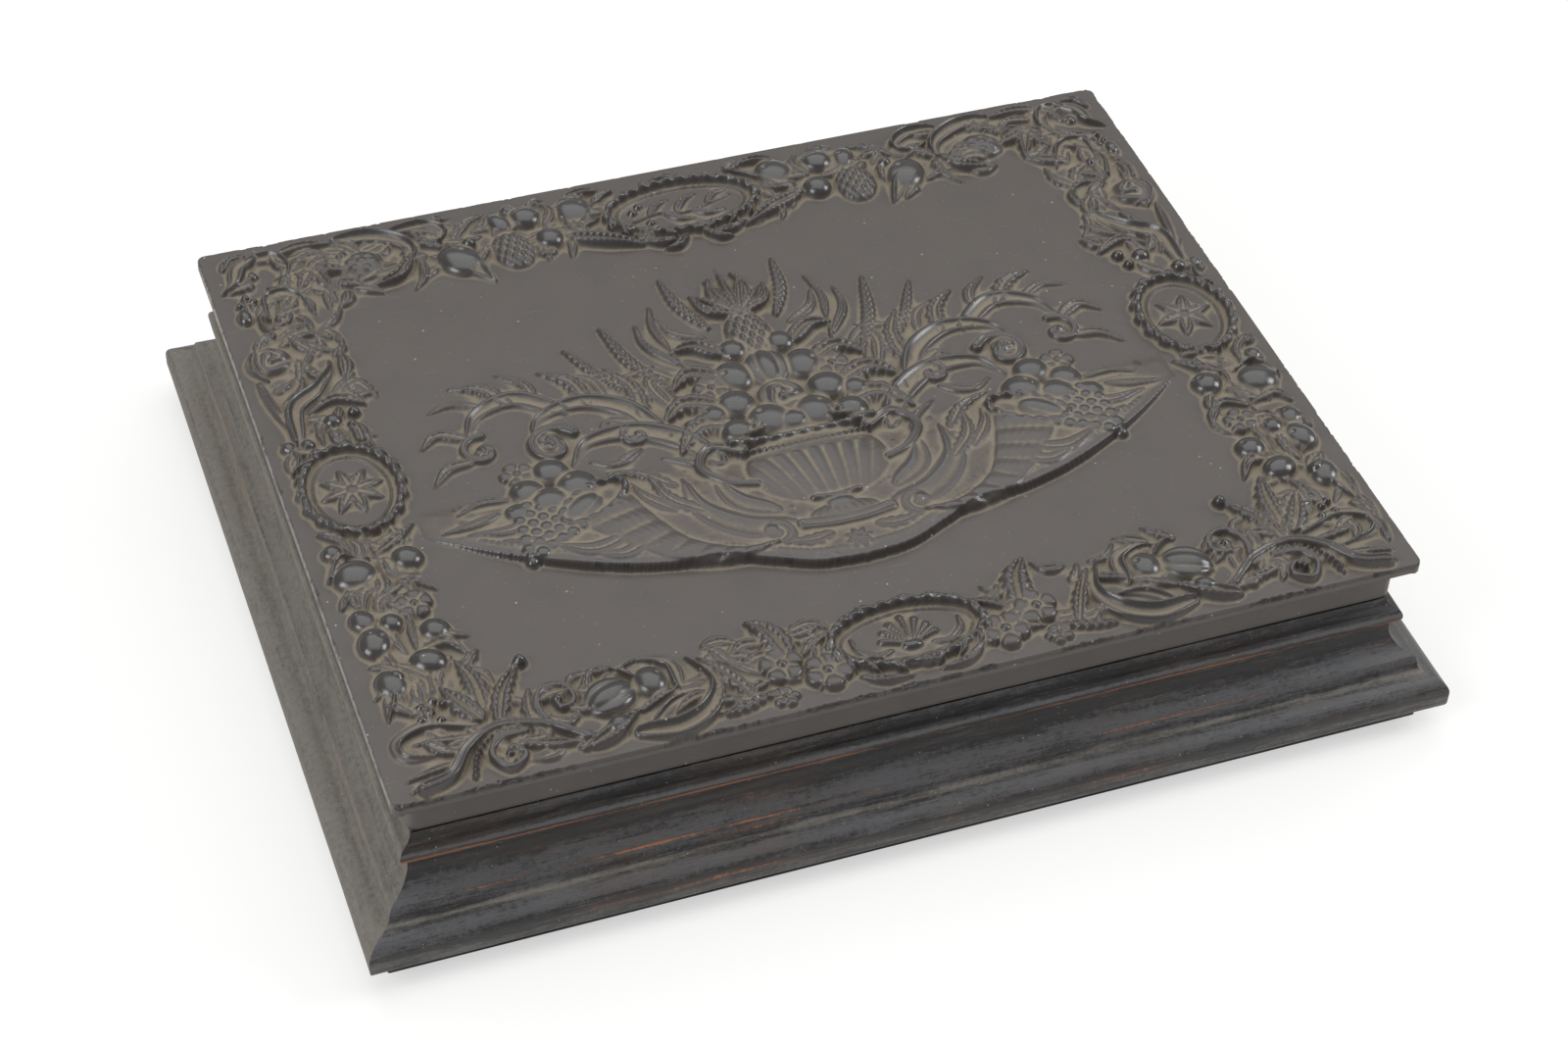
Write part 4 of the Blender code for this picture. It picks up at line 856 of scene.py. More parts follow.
def stamp(obj, low, high):
    """Spread the pad until its outline fills the opening, and press the channel in from below.
    The outline is the furthest point in each of ninety directions, measured by a power of
    twelve; every point is divided by it. The channel is a power of a parabola across an oval."""
    middle, half = (low + high) / 2, (high - low) / 2
    place = np.zeros(len(obj.data.vertices) * 3, np.float32)
    obj.data.vertices.foreach_get("co", place)
    x, y, z = place.reshape(-1, 3).T.astype(float)
    x, y = (x - middle.x) / half.x, (y - middle.y) / half.y
    heading = np.arctan2(y, x)
    reach = (np.abs(x) ** stamp_power + np.abs(y) ** stamp_power) ** (1 / stamp_power)
    sector = ((heading + np.pi) * stamp_sectors / (2 * np.pi)).astype(int) % stamp_sectors
    outline = np.zeros(stamp_sectors)
    np.maximum.at(outline, sector, reach)
    middles = (np.arange(stamp_sectors) + 0.5) * 2 * np.pi / stamp_sectors - np.pi
    spread = np.interp(heading, middles, outline, period=2 * np.pi)
    oval = np.hypot(x, y) / spread
    x, y = middle.x + x * half.x / spread, middle.y + y * half.y / spread
    away = np.abs(oval - channel_share) * half.y / channel_width
    lower = z < middle.z
    z = z + lower * channel_depth * np.maximum(0, 1 - away ** 2) ** 1.5
    z = z + lower * nap_depth * ripple(x, y, nap_size, 5)
    z = np.clip(z, low.z, high.z)
    x = np.clip(x, low.x, high.x)
    y = np.clip(y, low.y, high.y)
    obj.data.vertices.foreach_set("co", np.stack([x, y, z], 1).astype(np.float32).ravel())
    obj.data.update()


pad_low, pad_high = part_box("lid_pad")
pad_velvet = velvet("pad_velvet")
pad = piece(pad_block("stuffed_pad", pad_low, pad_high), pad_velvet, "lid",
            ["lid_pad"], 60)
plump(pad)
for level in range(2):
    shape = bmesh.new()
    shape.from_mesh(pad.data)
    bmesh.ops.subdivide_edges(shape, edges=shape.edges, cuts=1, use_grid_fill=True, smooth=0.6)
    for number in range(5):
        bmesh.ops.smooth_vert(shape, verts=shape.verts, factor=0.5, use_axis_x=True,
                              use_axis_y=True, use_axis_z=True)
    shape.to_mesh(pad.data)
    shape.free()
stamp(pad, pad_low, pad_high)
pad.data.shade_smooth()

# Moulded cover. One pressing of shellac and wood flour, brown-black, about 3 mm thick: a flat
# panel with relief on top, a flange round it, and a plain band set back underneath that is
# glued to the lid frame. The mould left the high points glossy; dust has filled the hollows.
cover_depth = 13.5 * mm
panel_thickness = 2.8 * mm
band_setback = 3.9 * mm
band_wall = 3.0 * mm
band_corner = 2.2 * mm
band_foot = 1.2 * mm
flange_corner = 2.0 * mm
flange_round = 0.55 * mm
cell = 0.27 * mm
edge_cells = (0, 0.10 * mm, 0.24 * mm, 0.42 * mm, 0.65 * mm, 0.95 * mm)
panel_top = cover_low.z + cover_depth
ceiling = panel_top - panel_thickness
relief_fill = 0.985
relief_room = (cover_high.z - panel_top) * relief_fill
relief_edge = 0.95 * mm
half_length, half_width = cover_high.x, cover_high.y
curve_samples = 24
least_samples = 40
samples_a_point = 14


def smooth_path(spine, count, closed=False):
    """Even points on a Catmull-Rom curve through a few, and its length: each stretch is a
    cubic that leaves and meets its points along the line between their neighbours."""
    knots = np.array(spine, float)
    if closed:
        knots = np.concatenate([knots[-1:], knots, knots[:2]])
    else:
        knots = np.concatenate([2 * knots[:1] - knots[1:2], knots, 2 * knots[-1:] - knots[-2:-1]])
    t = np.linspace(0, 1, curve_samples, endpoint=False)[:, None]
    parts = []
    for before, here, after, later in zip(knots, knots[1:], knots[2:], knots[3:]):
        leave, meet = (after - before) / 2, (later - here) / 2
        parts.append(here * (2 * t ** 3 - 3 * t ** 2 + 1) + leave * (t ** 3 - 2 * t ** 2 + t)
                     + after * (3 * t ** 2 - 2 * t ** 3) + meet * (t ** 3 - t ** 2))
    curve = np.concatenate(parts + [knots[-2:-1]])
    travel = np.concatenate([[0], np.cumsum(np.linalg.norm(np.diff(curve, axis=0), axis=1))])
    even = np.linspace(0, travel[-1], count)
    return np.stack([np.interp(even, travel, curve[:, k]) for k in (0, 1)], 1), travel[-1]


def round_top(v):
    """Half round: the root of one less the square."""
    return np.sqrt(np.maximum(0, 1 - v ** 2))


def wave(turns):
    """A cosine from 0 to 1, highest at each whole turn."""
    return 0.5 + 0.5 * np.cos(2 * np.pi * turns)


def leaf_top(u, v, s):
    """A leaf: a rise to each side of a sunk midrib, dished towards its edges, with veins that
    slant forwards."""
    vein = np.cos(2 * np.pi * (s / (1.6 * mm) - 0.9 * np.abs(v)))
    fold = 0.55 + 0.45 * np.sin(np.pi * held(np.abs(v) * 1.25))
    rise = fold * (0.70 + 0.30 * np.sin(np.pi * u))
    return rise * (1 - 0.30 * hump(v / 0.13) + 0.06 * vein * (1 - v ** 2))


def horn_top(u, v, s):
    """A turned-over leaf: a bold crest near one edge, a hollow beside it and a thin far edge."""
    crest = hump((v - 0.42) / 0.34)
    lip = 0.55 * hump((v + 0.72) / 0.20)
    flute = 0.05 * np.cos(2 * np.pi * 2.2 * v) * (1 - u)
    level = 0.34 + 0.66 * np.maximum(crest, lip) + flute
    return level * (0.72 + 0.28 * np.sin(np.pi * u ** 0.8))


def band_top(u, v, s):
    """A channelled scroll: raised rims either side of a hollow."""
    return round_top(v ** 2) * (1 - 0.42 * hump(v / 0.42))


def rope_top(u, v, s):
    """A twisted twig: a half round with a slanting groove round it."""
    return round_top(v) * (0.74 + 0.26 * wave(s / (3.4 * mm) + 0.32 * v))


def bead_top(u, v, s):
    """A row of pearls."""
    across = np.abs(s / (1.5 * mm) % 1 - 0.5) * 2
    return np.sqrt(np.maximum(0.04, 1 - v ** 2 - across ** 2)) * (np.abs(v) < 1)


def ear_top(u, v, s):
    """An ear of corn: two rows of grains, half a step apart."""
    grain = np.abs(np.sin(np.pi * (s / (2.1 * mm) + 0.25 * np.sign(v) - 0.55 * np.abs(v))))
    return round_top(v) * (0.50 + 0.50 * grain) * (1 - 0.35 * hump(v / 0.12))


def horn_of_plenty_top(u, v, s):
    """A basketwork horn: a half round with slanting ribs that widen towards its mouth."""
    rib = wave(9.5 * u ** 0.8 + 0.30 * v)
    return round_top(v) * (0.66 + 0.34 * rib ** 0.5) * (0.94 + 0.06 * wave(3.5 * v))


def stem_top(u, v, s):
    """A plain round stem."""
    return round_top(v)


# Each kind of stroke has its width along its length, its section and its polish.
strokes = {
    "leaf": (lambda u, s: np.sin(np.pi * u ** 0.72) ** 0.75 + 0.05, leaf_top, 0.30),
    "fern": (lambda u, s: (np.sin(np.pi * u ** 0.62) ** 0.7 + 0.05)
             * (0.80 + 0.20 * np.abs(np.sin(np.pi * s / (2.6 * mm)))), leaf_top, 0.25),
    "horn": (lambda u, s: (np.sin(np.pi * (0.18 + 0.82 * u ** 0.8)) ** 0.8) + 0.03, horn_top, 0.75),
    "band": (lambda u, s: 1.0 - 0.35 * u, band_top, 0.55),
    "rope": (lambda u, s: 1.0 + 0 * u, rope_top, 0.60),
    "beads": (lambda u, s: 1.0 + 0 * u, bead_top, 0.60),
    "ear": (lambda u, s: np.sin(np.pi * u ** 0.8) ** 0.5 + 0.1, ear_top, 0.45),
    "stem": (lambda u, s: 1.0 - 0.3 * u, stem_top, 0.45),
    "horn_of_plenty": (lambda u, s: 0.10 + 0.90 * u ** 1.15, horn_of_plenty_top, 0.55),
}


def plain_dome(p, q):
    """An ellipsoid with a small sunk eye off its middle."""
    eye = 0.20 * np.exp(-((p - 0.45) ** 2 + (q - 0.25) ** 2) / 0.02)
    return round_top(np.hypot(p, q)) * (1 - eye)


def plum_dome(p, q):
    """A smooth ellipsoid with a fine cleft down one side."""
    cleft = 0.10 * hump((q - 0.45 * round_top(p)) / 0.06)
    return round_top(np.hypot(p, q)) * (1 - cleft)


def melon_dome(p, q):
    """Ribs that run from pole to pole as meridians."""
    meridian = np.arcsin(np.clip(q / np.maximum(round_top(p), 1e-3), -1, 1))
    return round_top(np.hypot(p, q)) * (0.80 + 0.20 * np.abs(np.cos(3.5 * meridian)))


def berry_dome(p, q):
    """Round pips in staggered rows."""
    pips = np.cos(6.5 * p) * np.cos(6.5 * (0.5 * p + 0.87 * q)) * np.cos(6.5 * (0.5 * p - 0.87 * q))
    return round_top(np.hypot(p, q)) * (0.80 + 0.20 * np.abs(pips) ** 0.5)


def cone_dome(p, q):
    """Pointed scales in crossing rows."""
    scales = np.abs(np.sin(7.5 * (p + 0.8 * q))) * np.abs(np.sin(7.5 * (p - 0.8 * q)))
    return round_top(np.hypot(p, q)) * (0.68 + 0.32 * scales ** 0.6)


def urn_dome(p, q):
    """Upright lobes that spread from the foot, under a plain shoulder."""
    lobes = np.abs(np.cos(5.5 * np.pi * p / np.maximum(1.25 + q * 0.5, 0.2)))
    return round_top(np.hypot(p, q)) * np.where(q < 0.25, 0.80 + 0.20 * lobes, 0.93)


def flower_dome(p, q):
    """Five cupped petals round a button: the reach and the level both follow the angle."""
    angle, away = np.arctan2(q, p), np.hypot(p, q)
    petal = np.abs(np.cos(2.5 * angle))
    inside = away < 0.62 + 0.38 * petal ** 0.6
    cup = 0.42 + 0.30 * away + 0.22 * petal * away - 0.25 * hump(petal / 0.25)
    button = 0.85 * round_top(away / 0.30)
    return np.where(inside, np.maximum(cup * round_top(away ** 2), button), 0)


def rose_dome(p, q):
    """Petals wound round the heart: a spiral groove deepens outwards."""
    angle, away = np.arctan2(q, p), np.hypot(p, q)
    wound = 0.5 + 0.5 * np.cos(2 * angle - 12 * away + 1.2 * np.cos(3 * angle))
    return round_top(away) * (0.72 + 0.28 * wound)


# Each kind of dome has its form over a unit circle and its polish.
domes = {
    "fruit": (plain_dome, 0.95), "plum": (plum_dome, 1.25), "melon": (melon_dome, 1.15),
    "berry": (berry_dome, 0.55), "cone": (cone_dome, 0.60), "urn": (urn_dome, 0.70),
    "flower": (flower_dome, 0.35), "rose": (rose_dome, 0.45), "leafbud": (rose_dome, 0.40),
}


class Relief:
    """The cover's top as a height over each point of a grid, with how polished it is there."""

    def __init__(self, xs, ys):
        self.xs, self.ys = xs, ys
        self.x, self.y = np.meshgrid(xs, ys)
        self.height = np.zeros(self.x.shape)
        self.polish = np.zeros(self.x.shape)

    def window(self, points, reach):
        """The rows and columns of the grid within reach of some points."""
        low, high = points.min(0) - reach, points.max(0) + reach
        return (slice(*np.searchsorted(self.ys, (low[1], high[1]))),
                slice(*np.searchsorted(self.xs, (low[0], high[0]))))

    def lift(self, window, height, polish):
        """Raise the window to a new height where that is higher, and polish it there."""
        higher = height > self.height[window]
        self.height[window] = np.where(higher, height, self.height[window])
        self.polish[window] = np.where(higher, polish, self.polish[window])

    def stroke(self, kind, width, height, spine, flip=False, closed=False):
        """A form along a curve. Each grid point takes its distance along and across the curve
        from the nearest sample, and the section gives its height."""
        outline, section, polish = strokes[kind]
        samples = max(least_samples, len(spine) * samples_a_point)
        path, length = smooth_path(spine, samples, closed)
        window = self.window(path, width * 1.1)
        x, y = self.x[window], self.y[window]
        away = (x[..., None] - path[:, 0]) ** 2 + (y[..., None] - path[:, 1]) ** 2
        nearest = away.argmin(-1)
        ahead = np.gradient(path, axis=0)
        ahead /= np.linalg.norm(ahead, axis=1, keepdims=True)
        offset_x, offset_y = x - path[nearest, 0], y - path[nearest, 1]
        along = offset_x * ahead[nearest, 0] + offset_y * ahead[nearest, 1]
        across = offset_y * ahead[nearest, 0] - offset_x * ahead[nearest, 1]
        travel = nearest * length / (len(path) - 1) + along
        past = np.maximum(0, np.maximum(-travel, travel - length)) * (not closed)
        share = held(travel / length)
        reach = width * outline(share, travel)
        v = np.hypot(across, past) / reach * np.sign(across) * (-1 if flip else 1)
        edge = held((1 - np.abs(v)) * reach / np.minimum(relief_edge, 0.6 * reach))
        form = section(share, np.clip(v, -1, 1), travel) * edge ** 2 * (3 - 2 * edge)
        self.lift(window, height * relief_room * form, polish * form)

    def dome(self, kind, centre, radii, turn, height, flip=False):
        """A form over an ellipse, turned by some degrees."""
        form, polish = domes[kind]
        window = self.window(np.array([centre]), max(radii))
        x, y = self.x[window] - centre[0], self.y[window] - centre[1]
        angle = np.radians(-turn if flip else turn)
        p = (x * np.cos(angle) + y * np.sin(angle)) / radii[0] * (-1 if flip else 1)
        q = (y * np.cos(angle) - x * np.sin(angle)) / radii[1]
        inside = np.hypot(p, q) < 1
        level = np.where(inside, form(p, q), 0)
        self.lift(window, height * relief_room * level, polish * np.minimum(1, level * 1.3))


def edge_lines(half):
    """Grid lines across the cover: even cells, and closer lines along the two edges."""
    near = np.array(edge_cells)
    count = int(round(2 * (half - near[-1]) / cell))
    even = np.linspace(-half + near[-1], half - near[-1], count + 1)
    return np.concatenate([near[:-1] - half, even, half - near[-2::-1]])


relief = Relief(edge_lines(half_length), edge_lines(half_width))

# Border of the relief: fruit, flowers and turned leaves with a framed oval in the middle of
# each side. Places are millimetres to the right and forwards of the cover's back left corner,
# for the left half; the right half is its mirror image, shifted a little as by the carver.
border_strokes = [
    ("horn", 3, 0.85, (12.5, 6.2), (8.6, 9.5), (6.6, 14), (2.6, 17)),
    ("horn", 2.4, 0.8, (11.5, 6.4), (17, 7), (19.6, 12), (16.8, 18.8)),
    ("leaf", 1.7, 0.6, (4.6, 8.4), (7, 4.9), (11.4, 4)),
    ("leaf", 2.2, 0.62, (17.5, 6.4), (24, 4.9), (33, 5.4)),
    ("leaf", 2, 0.5, (20.5, 8.8), (27.5, 8.2), (31.5, 11.5)),
    ("horn", 2.7, 0.95, (33, 5.4), (41.5, 6.2), (48.5, 10.2), (50.3, 15.4), (46.5, 21)),
    ("leaf", 2.4, 0.8, (50, 16.5), (44.5, 22.8), (37.3, 24.8)),
    ("leaf", 1.7, 0.5, (51.8, 17.5), (51, 24), (47.7, 28.6)),
    ("horn", 2, 0.9, (47.5, 5.4), (55, 5.9), (59.4, 9.2), (57, 12.6), (52.4, 10.4)),
    ("stem", 0.8, 0.5, (50.5, 10), (56, 13.4), (61, 17.5)),
    ("leaf", 2, 0.55, (61.3, 12.4), (66, 7.6), (71.2, 5.4)),
    ("horn", 3, 0.85, (59, 20), (64, 26), (67.2, 31.2)),
    ("leaf", 2, 0.55, (84, 14.5), (86.8, 9.5), (84.8, 5)),
    ("leaf", 2.8, 0.85, (87.6, 20.4), (96, 24), (105.8, 28.8)),
    ("leaf", 1.6, 0.6, (88, 16.4), (93, 17.2), (98.4, 15.2)),
    ("leaf", 1.8, 0.7, (90, 6.2), (96, 4.6), (102.5, 5.4)),
    ("stem", 0.7, 0.6, (92, 17.5), (98, 10), (103.6, 6.2)),
    ("leaf", 1.5, 0.75, (114, 28.6), (109.5, 29.3), (104.5, 26.6)),
    ("leaf", 1.4, 0.8, (117, 28), (113.5, 31.6), (109.8, 31.8)),
    ("horn", 2.6, 0.85, (12, 29), (13.2, 22.4), (18.6, 22.6), (22.6, 30.2)),
    ("stem", 1.2, 0.6, (11, 36), (9.3, 30), (12, 25.5), (17, 23)),
    ("leaf", 1.5, 0.5, (11.5, 37.5), (15, 35), (19.6, 32.8)),
    ("leaf", 1.4, 0.55, (13, 39.5), (19, 37.3), (24.4, 40.5)),
    ("leaf", 2, 0.75, (5.2, 40), (3.9, 45.5), (6.4, 51)),
    ("leaf", 1.4, 0.45, (19.6, 41.2), (16.5, 46.5), (13.5, 50.5)),
    ("leaf", 1.6, 0.5, (3.9, 50), (5, 59), (7.5, 72)),
    ("horn", 2.8, 0.95, (8, 73), (9.6, 62.8), (16, 57.5), (20.5, 51.5), (21.6, 47)),
    ("leaf", 1.5, 0.5, (26.2, 53.2), (20.5, 58.5), (16.5, 60.5)),
    ("leaf", 1.3, 0.45, (26.6, 58), (21, 61.5), (17.5, 62.5)),
    ("leaf", 1.9, 0.65, (26, 64.8), (19, 61.8), (11.6, 65.4)),
    ("stem", 0.9, 0.6, (5, 75), (6.5, 79.5), (4.2, 84)),
    ("leaf", 1.8, 0.6, (4.6, 104), (8.6, 107.5), (10.4, 112.4)),
    ("stem", 1, 0.8, (3.9, 119.5), (7.6, 113.6), (13.4, 116)),
    ("leaf", 2, 0.65, (15.5, 114.4), (21, 111.2), (26, 106.8)),
    ("leaf", 1.7, 0.55, (3.9, 128.8), (7, 125.3), (13.4, 126.8)),
    ("leaf", 1.7, 0.6, (14.6, 127.4), (20.5, 124.8), (25.6, 128.6)),
    ("stem", 0.6, 0.4, (14, 107), (15.5, 118), (13, 135)),
    ("leaf", 1.5, 0.5, (16.5, 144), (17, 138), (18.5, 134)),
    ("leaf", 2, 0.6, (17, 146), (23, 145), (27, 150)),
    ("leaf", 1.5, 0.5, (5.4, 147), (9.5, 149), (12.6, 153)),
    ("horn", 2, 0.7, (8.4, 155), (6.8, 159.6), (5.4, 163.6)),
    ("fern", 3.6, 0.7, (24.5, 169.4), (20.8, 163.5), (18, 157.4)),
    ("fern", 3.4, 0.62, (25.4, 166), (25.2, 158), (23.2, 150.4)),
    ("fern", 3, 0.72, (27.4, 171), (30.4, 163), (36.2, 155)),
    ("horn", 2, 0.62, (22, 170), (12.5, 167.2), (5.6, 170), (6.6, 174.8), (15, 176.4)),
    ("fern", 1.6, 0.5, (20.5, 172.9), (14, 172.2), (8.4, 171.4)),
    ("leaf", 1.5, 0.5, (16, 179), (10, 180), (4.6, 181)),
    ("leaf", 1.2, 0.45, (12.5, 182), (8.6, 182.9), (4.6, 184.4)),
    ("band", 1.9, 0.95, (7.8, 184.4), (14.2, 182.4), (19.2, 176.2), (26.5, 172.4), (36.5, 174.8),
     (44, 181)),
    ("beads", 0.9, 0.8, (18.6, 184), (20.8, 178.4), (25.5, 174.6), (31, 174.4)),
    ("band", 1.2, 0.9, (32, 175.4), (26, 176), (23.4, 180.2), (26.3, 184.2), (30.2, 181.8),
     (28.2, 178.8), (26.6, 180.6)),
    ("fern", 1.8, 0.6, (30.5, 178.4), (37, 180.4), (44.5, 181.6)),
    ("fern", 2.8, 0.55, (36.5, 178), (34.4, 170), (36, 163)),
    ("band", 1.3, 0.85, (45, 181), (38.4, 176.2), (36.2, 170), (38.4, 164.8), (43.2, 165.2),
     (44.2, 169.6), (41.2, 171.2), (40, 168.6)),
    ("horn", 1.1, 0.95, (59.5, 168.4), (56, 164.6), (51.4, 162.2)),
    ("horn", 2.4, 0.8, (66.8, 172.4), (66.2, 165.6), (60, 162.8), (55, 164.2)),
    ("leaf", 1.4, 0.6, (56.6, 177), (61.5, 174.6), (66.6, 172.5)),
    ("leaf", 2.7, 0.8, (43.6, 183.6), (50.5, 180.6), (57, 176.2)),
    ("horn", 3, 1, (55, 182.6), (64, 183.8), (71.5, 180), (74.5, 173), (70.4, 164.2)),
    ("horn", 1.6, 0.7, (59, 180.5), (64.5, 176.5), (70.6, 175)),
    ("ear", 1.8, 0.6, (73.6, 183.4), (80.5, 182), (87, 180)),
    ("fern", 2.5, 0.6, (81.5, 181), (77.4, 172.5), (73, 165.4)),
    ("fern", 4.2, 0.78, (91.8, 171.4), (90, 164.4), (86, 158.8)),
    ("leaf", 1.6, 0.55, (94.6, 172), (99.5, 168.6), (105, 167.6)),
    ("stem", 0.8, 0.65, (101.6, 173.5), (104, 166.6), (110.6, 162.6)),
    ("leaf", 1.5, 0.6, (104.6, 181.4), (109.5, 184.2), (116, 184.6)),
]
border_domes = [
    ("fruit", (11, 12.4), (1.7, 1.7), 0, 0.5),
    ("berry", (37.4, 15.8), (5.8, 4.9), 15, 0.85),
    ("leafbud", (33.2, 12.2), (2.4, 1.5), 40, 0.9),
    ("fruit", (60.6, 21.4), (5.2, 6.4), 35, 0.95),
    ("fruit", (64.2, 16.4), (2, 2), 0, 0.95),
    ("cone", (74.2, 21.2), (5.4, 7), 8, 0.95),
    ("fruit", (73.4, 10.6), (3.1, 4.4), 20, 0.8),
    ("plum", (80.2, 10), (4.4, 4.2), 0, 0.95),
    ("fruit", (77, 5.9), (2.1, 2), 0, 0.6),
    ("plum", (83.8, 20), (3.9, 3.9), 0, 1),
    ("fruit", (92.5, 10.8), (5, 5.2), 0, 0.85),
    ("fruit", (6.1, 27), (2, 2.9), 0, 0.7),
    ("fruit", (13.6, 30.4), (1.3, 1.3), 0, 0.7),
    ("rose", (8.6, 44.4), (5, 5), 0, 0.9),
    ("plum", (16.9, 69.4), (2.5, 2.4), 0, 0.85),
    ("plum", (22.4, 67.4), (1.7, 1.7), 0, 0.75),
    ("plum", (21, 71.6), (1.5, 1.5), 0, 0.7),
    ("fruit", (5.2, 75), (2, 2), 0, 0.65),
    ("fruit", (9.6, 75.4), (2, 2), 0, 0.7),
    ("fruit", (6.3, 111.3), (2.7, 2.6), 0, 0.75),
    ("plum", (9.2, 119.6), (5.4, 4.9), 10, 1),
    ("fruit", (21.6, 117.6), (4, 3.8), 0, 0.9),
    ("fruit", (7.5, 133.6), (3.1, 3.7), 20, 0.72),
    ("fruit", (8.2, 140.8), (3.9, 4.7), -15, 0.92),
    ("fruit", (13.2, 136.2), (3, 3), 0, 0.85),
    ("flower", (19.4, 132), (4.4, 4.4), 10, 0.85),
    ("fruit", (21.6, 141), (3.8, 3.7), 0, 0.92),
    ("plum", (17.8, 149.6), (4.5, 3.8), -20, 0.98),
    ("fruit", (8.6, 153.8), (3.7, 4.6), 15, 0.85),
    ("fruit", (10, 152.6), (2.1, 2.1), 0, 1),
    ("melon", (51.6, 171.2), (6.3, 5.5), 22, 1),
    ("fruit", (61.2, 169.4), (4, 4.5), 0, 0.88),
    ("fruit", (51, 179.6), (3.3, 2.4), 30, 0.95),
    ("flower", (89.4, 173.8), (5.4, 5.4), 20, 0.92),
    ("flower", (98.4, 178.2), (5.8, 5.6), -15, 0.88),
    ("flower", (87.4, 182.4), (3.4, 3), 0, 0.6),
    ("fruit", (36.4, 155.4), (1.7, 1.7), 0, 0.85),
    ("fruit", (27, 180.8), (1.1, 1.1), 0, 0.8),
    ("fruit", (40.8, 168.8), (1.3, 1.3), 0, 0.8),
]
berries = [(7.5, 20.5), (9.2, 22.2), (6.3, 23.0), (8.6, 24.6), (12.5, 162.5), (14.2, 164.2),
           (15.6, 160.8), (17.8, 162.6), (15.8, 166.6), (12.4, 166.0)]
berry_radii = (1.2, 1.2)
vine_leaves = [((25.0, 14.0), 10.5, -70, 0.72), ((96.0, 168.0), 5.0, 60, 0.45)]
ovals = [((118.9, 16.6), (19.0, 9.6)), ((118.9, 172.4), (17.4, 9.0)), ((15.6, 92.4), (10.9, 13.9))]
wreath_twig, wreath_twig_height = 1.45 * mm, 0.80
wreath_line, wreath_line_height = 0.35 * mm, 0.28
wreath_line_gap = 2.3 * mm
wreath_leaf, wreath_leaf_height = 0.9 * mm, 0.92
wreath_leaf_along, wreath_leaf_out = 3.6 * mm, 0.9 * mm
wreath_leaf_bow = 0.5 * mm
vine_lobes = ((-95, 0.55), (-50, 0.85), (0, 1.0), (50, 0.85), (95, 0.55))
carver_shift = 0.35 * mm
garland_middle = 15.0 * mm
garland_reach = 9.5 * mm
garland_margin = 4.2 * mm
garland_depth = 26 * mm
ground_leaf_count = 520
ground_leaf_lengths, ground_leaf_widths = (6.0, 11.0), (1.5, 2.6)
ground_leaf_heights = (0.30, 0.60)
ground_leaf_turn, ground_leaf_bend = 0.75, 0.22
oval_clearance = 1.05
berry_height = 0.62
vine_lobe_width = 0.27
carver_seed = 11


def left_of(heading):
    """A heading turned to the left by a right angle."""
    return np.array([-heading[1], heading[0]])


def from_corner(place, flip):
    """A place in the border's table in metres from the cover's middle, mirrored if asked."""
    x, y = place[0] * mm - half_length, half_width - place[1] * mm
    return np.array([-x if flip else x, y])


def vine_leaf(base, length, heading, height, flip):
    """Five veined lobes that fan out from the stalk, the middle one longest."""
    for lobe, (spread, share) in enumerate(vine_lobes):
        ahead = circle(np.radians(heading + spread)) * (-1 if flip else 1, 1)
        spine = [np.array(base) + ahead * length * share * part for part in (0, 0.5, 1)]
        relief.stroke("fern", length * vine_lobe_width, height * (0.92 + 0.02 * lobe), spine,
                      flip)


def wreath(centre, radii):
    """A framed oval: a twisted twig, a fine inner line and small leaves along the outside."""
    ring = circle(np.radians(np.arange(0, 360, 15)))
    line = centre + ring * (radii - wreath_line_gap)
    relief.stroke("rope", wreath_twig, wreath_twig_height, centre + ring * radii, closed=True)
    relief.stroke("stem", wreath_line, wreath_line_height, line, closed=True)
    for out in circle(np.radians(np.arange(8, 368, 20))):
        start = centre + out * radii
        side = left_of(out) * (1 if out[0] < 0 else -1)
        tip = start + side * wreath_leaf_along + out * wreath_leaf_out
        bow = (start + tip) / 2 + out * wreath_leaf_bow
        relief.stroke("leaf", wreath_leaf, wreath_leaf_height, [start, bow, tip])


def carve(kind_strokes, kind_domes, place, flip, random, shift):
    """Cut a table of strokes and a table of domes, each moved a little as by the carver."""
    for kind, width, height, *spine in kind_strokes:
        moved = random.uniform(-shift, shift, 2)
        spine = [place(point, flip) + moved for point in spine]
        relief.stroke(kind, width * mm, height, spine, flip)
    for kind, centre, radii, turn, height in kind_domes:
        moved = place(centre, flip) + random.uniform(-shift, shift, 2)
        relief.dome(kind, moved, np.array(radii) * mm, turn, height, flip)


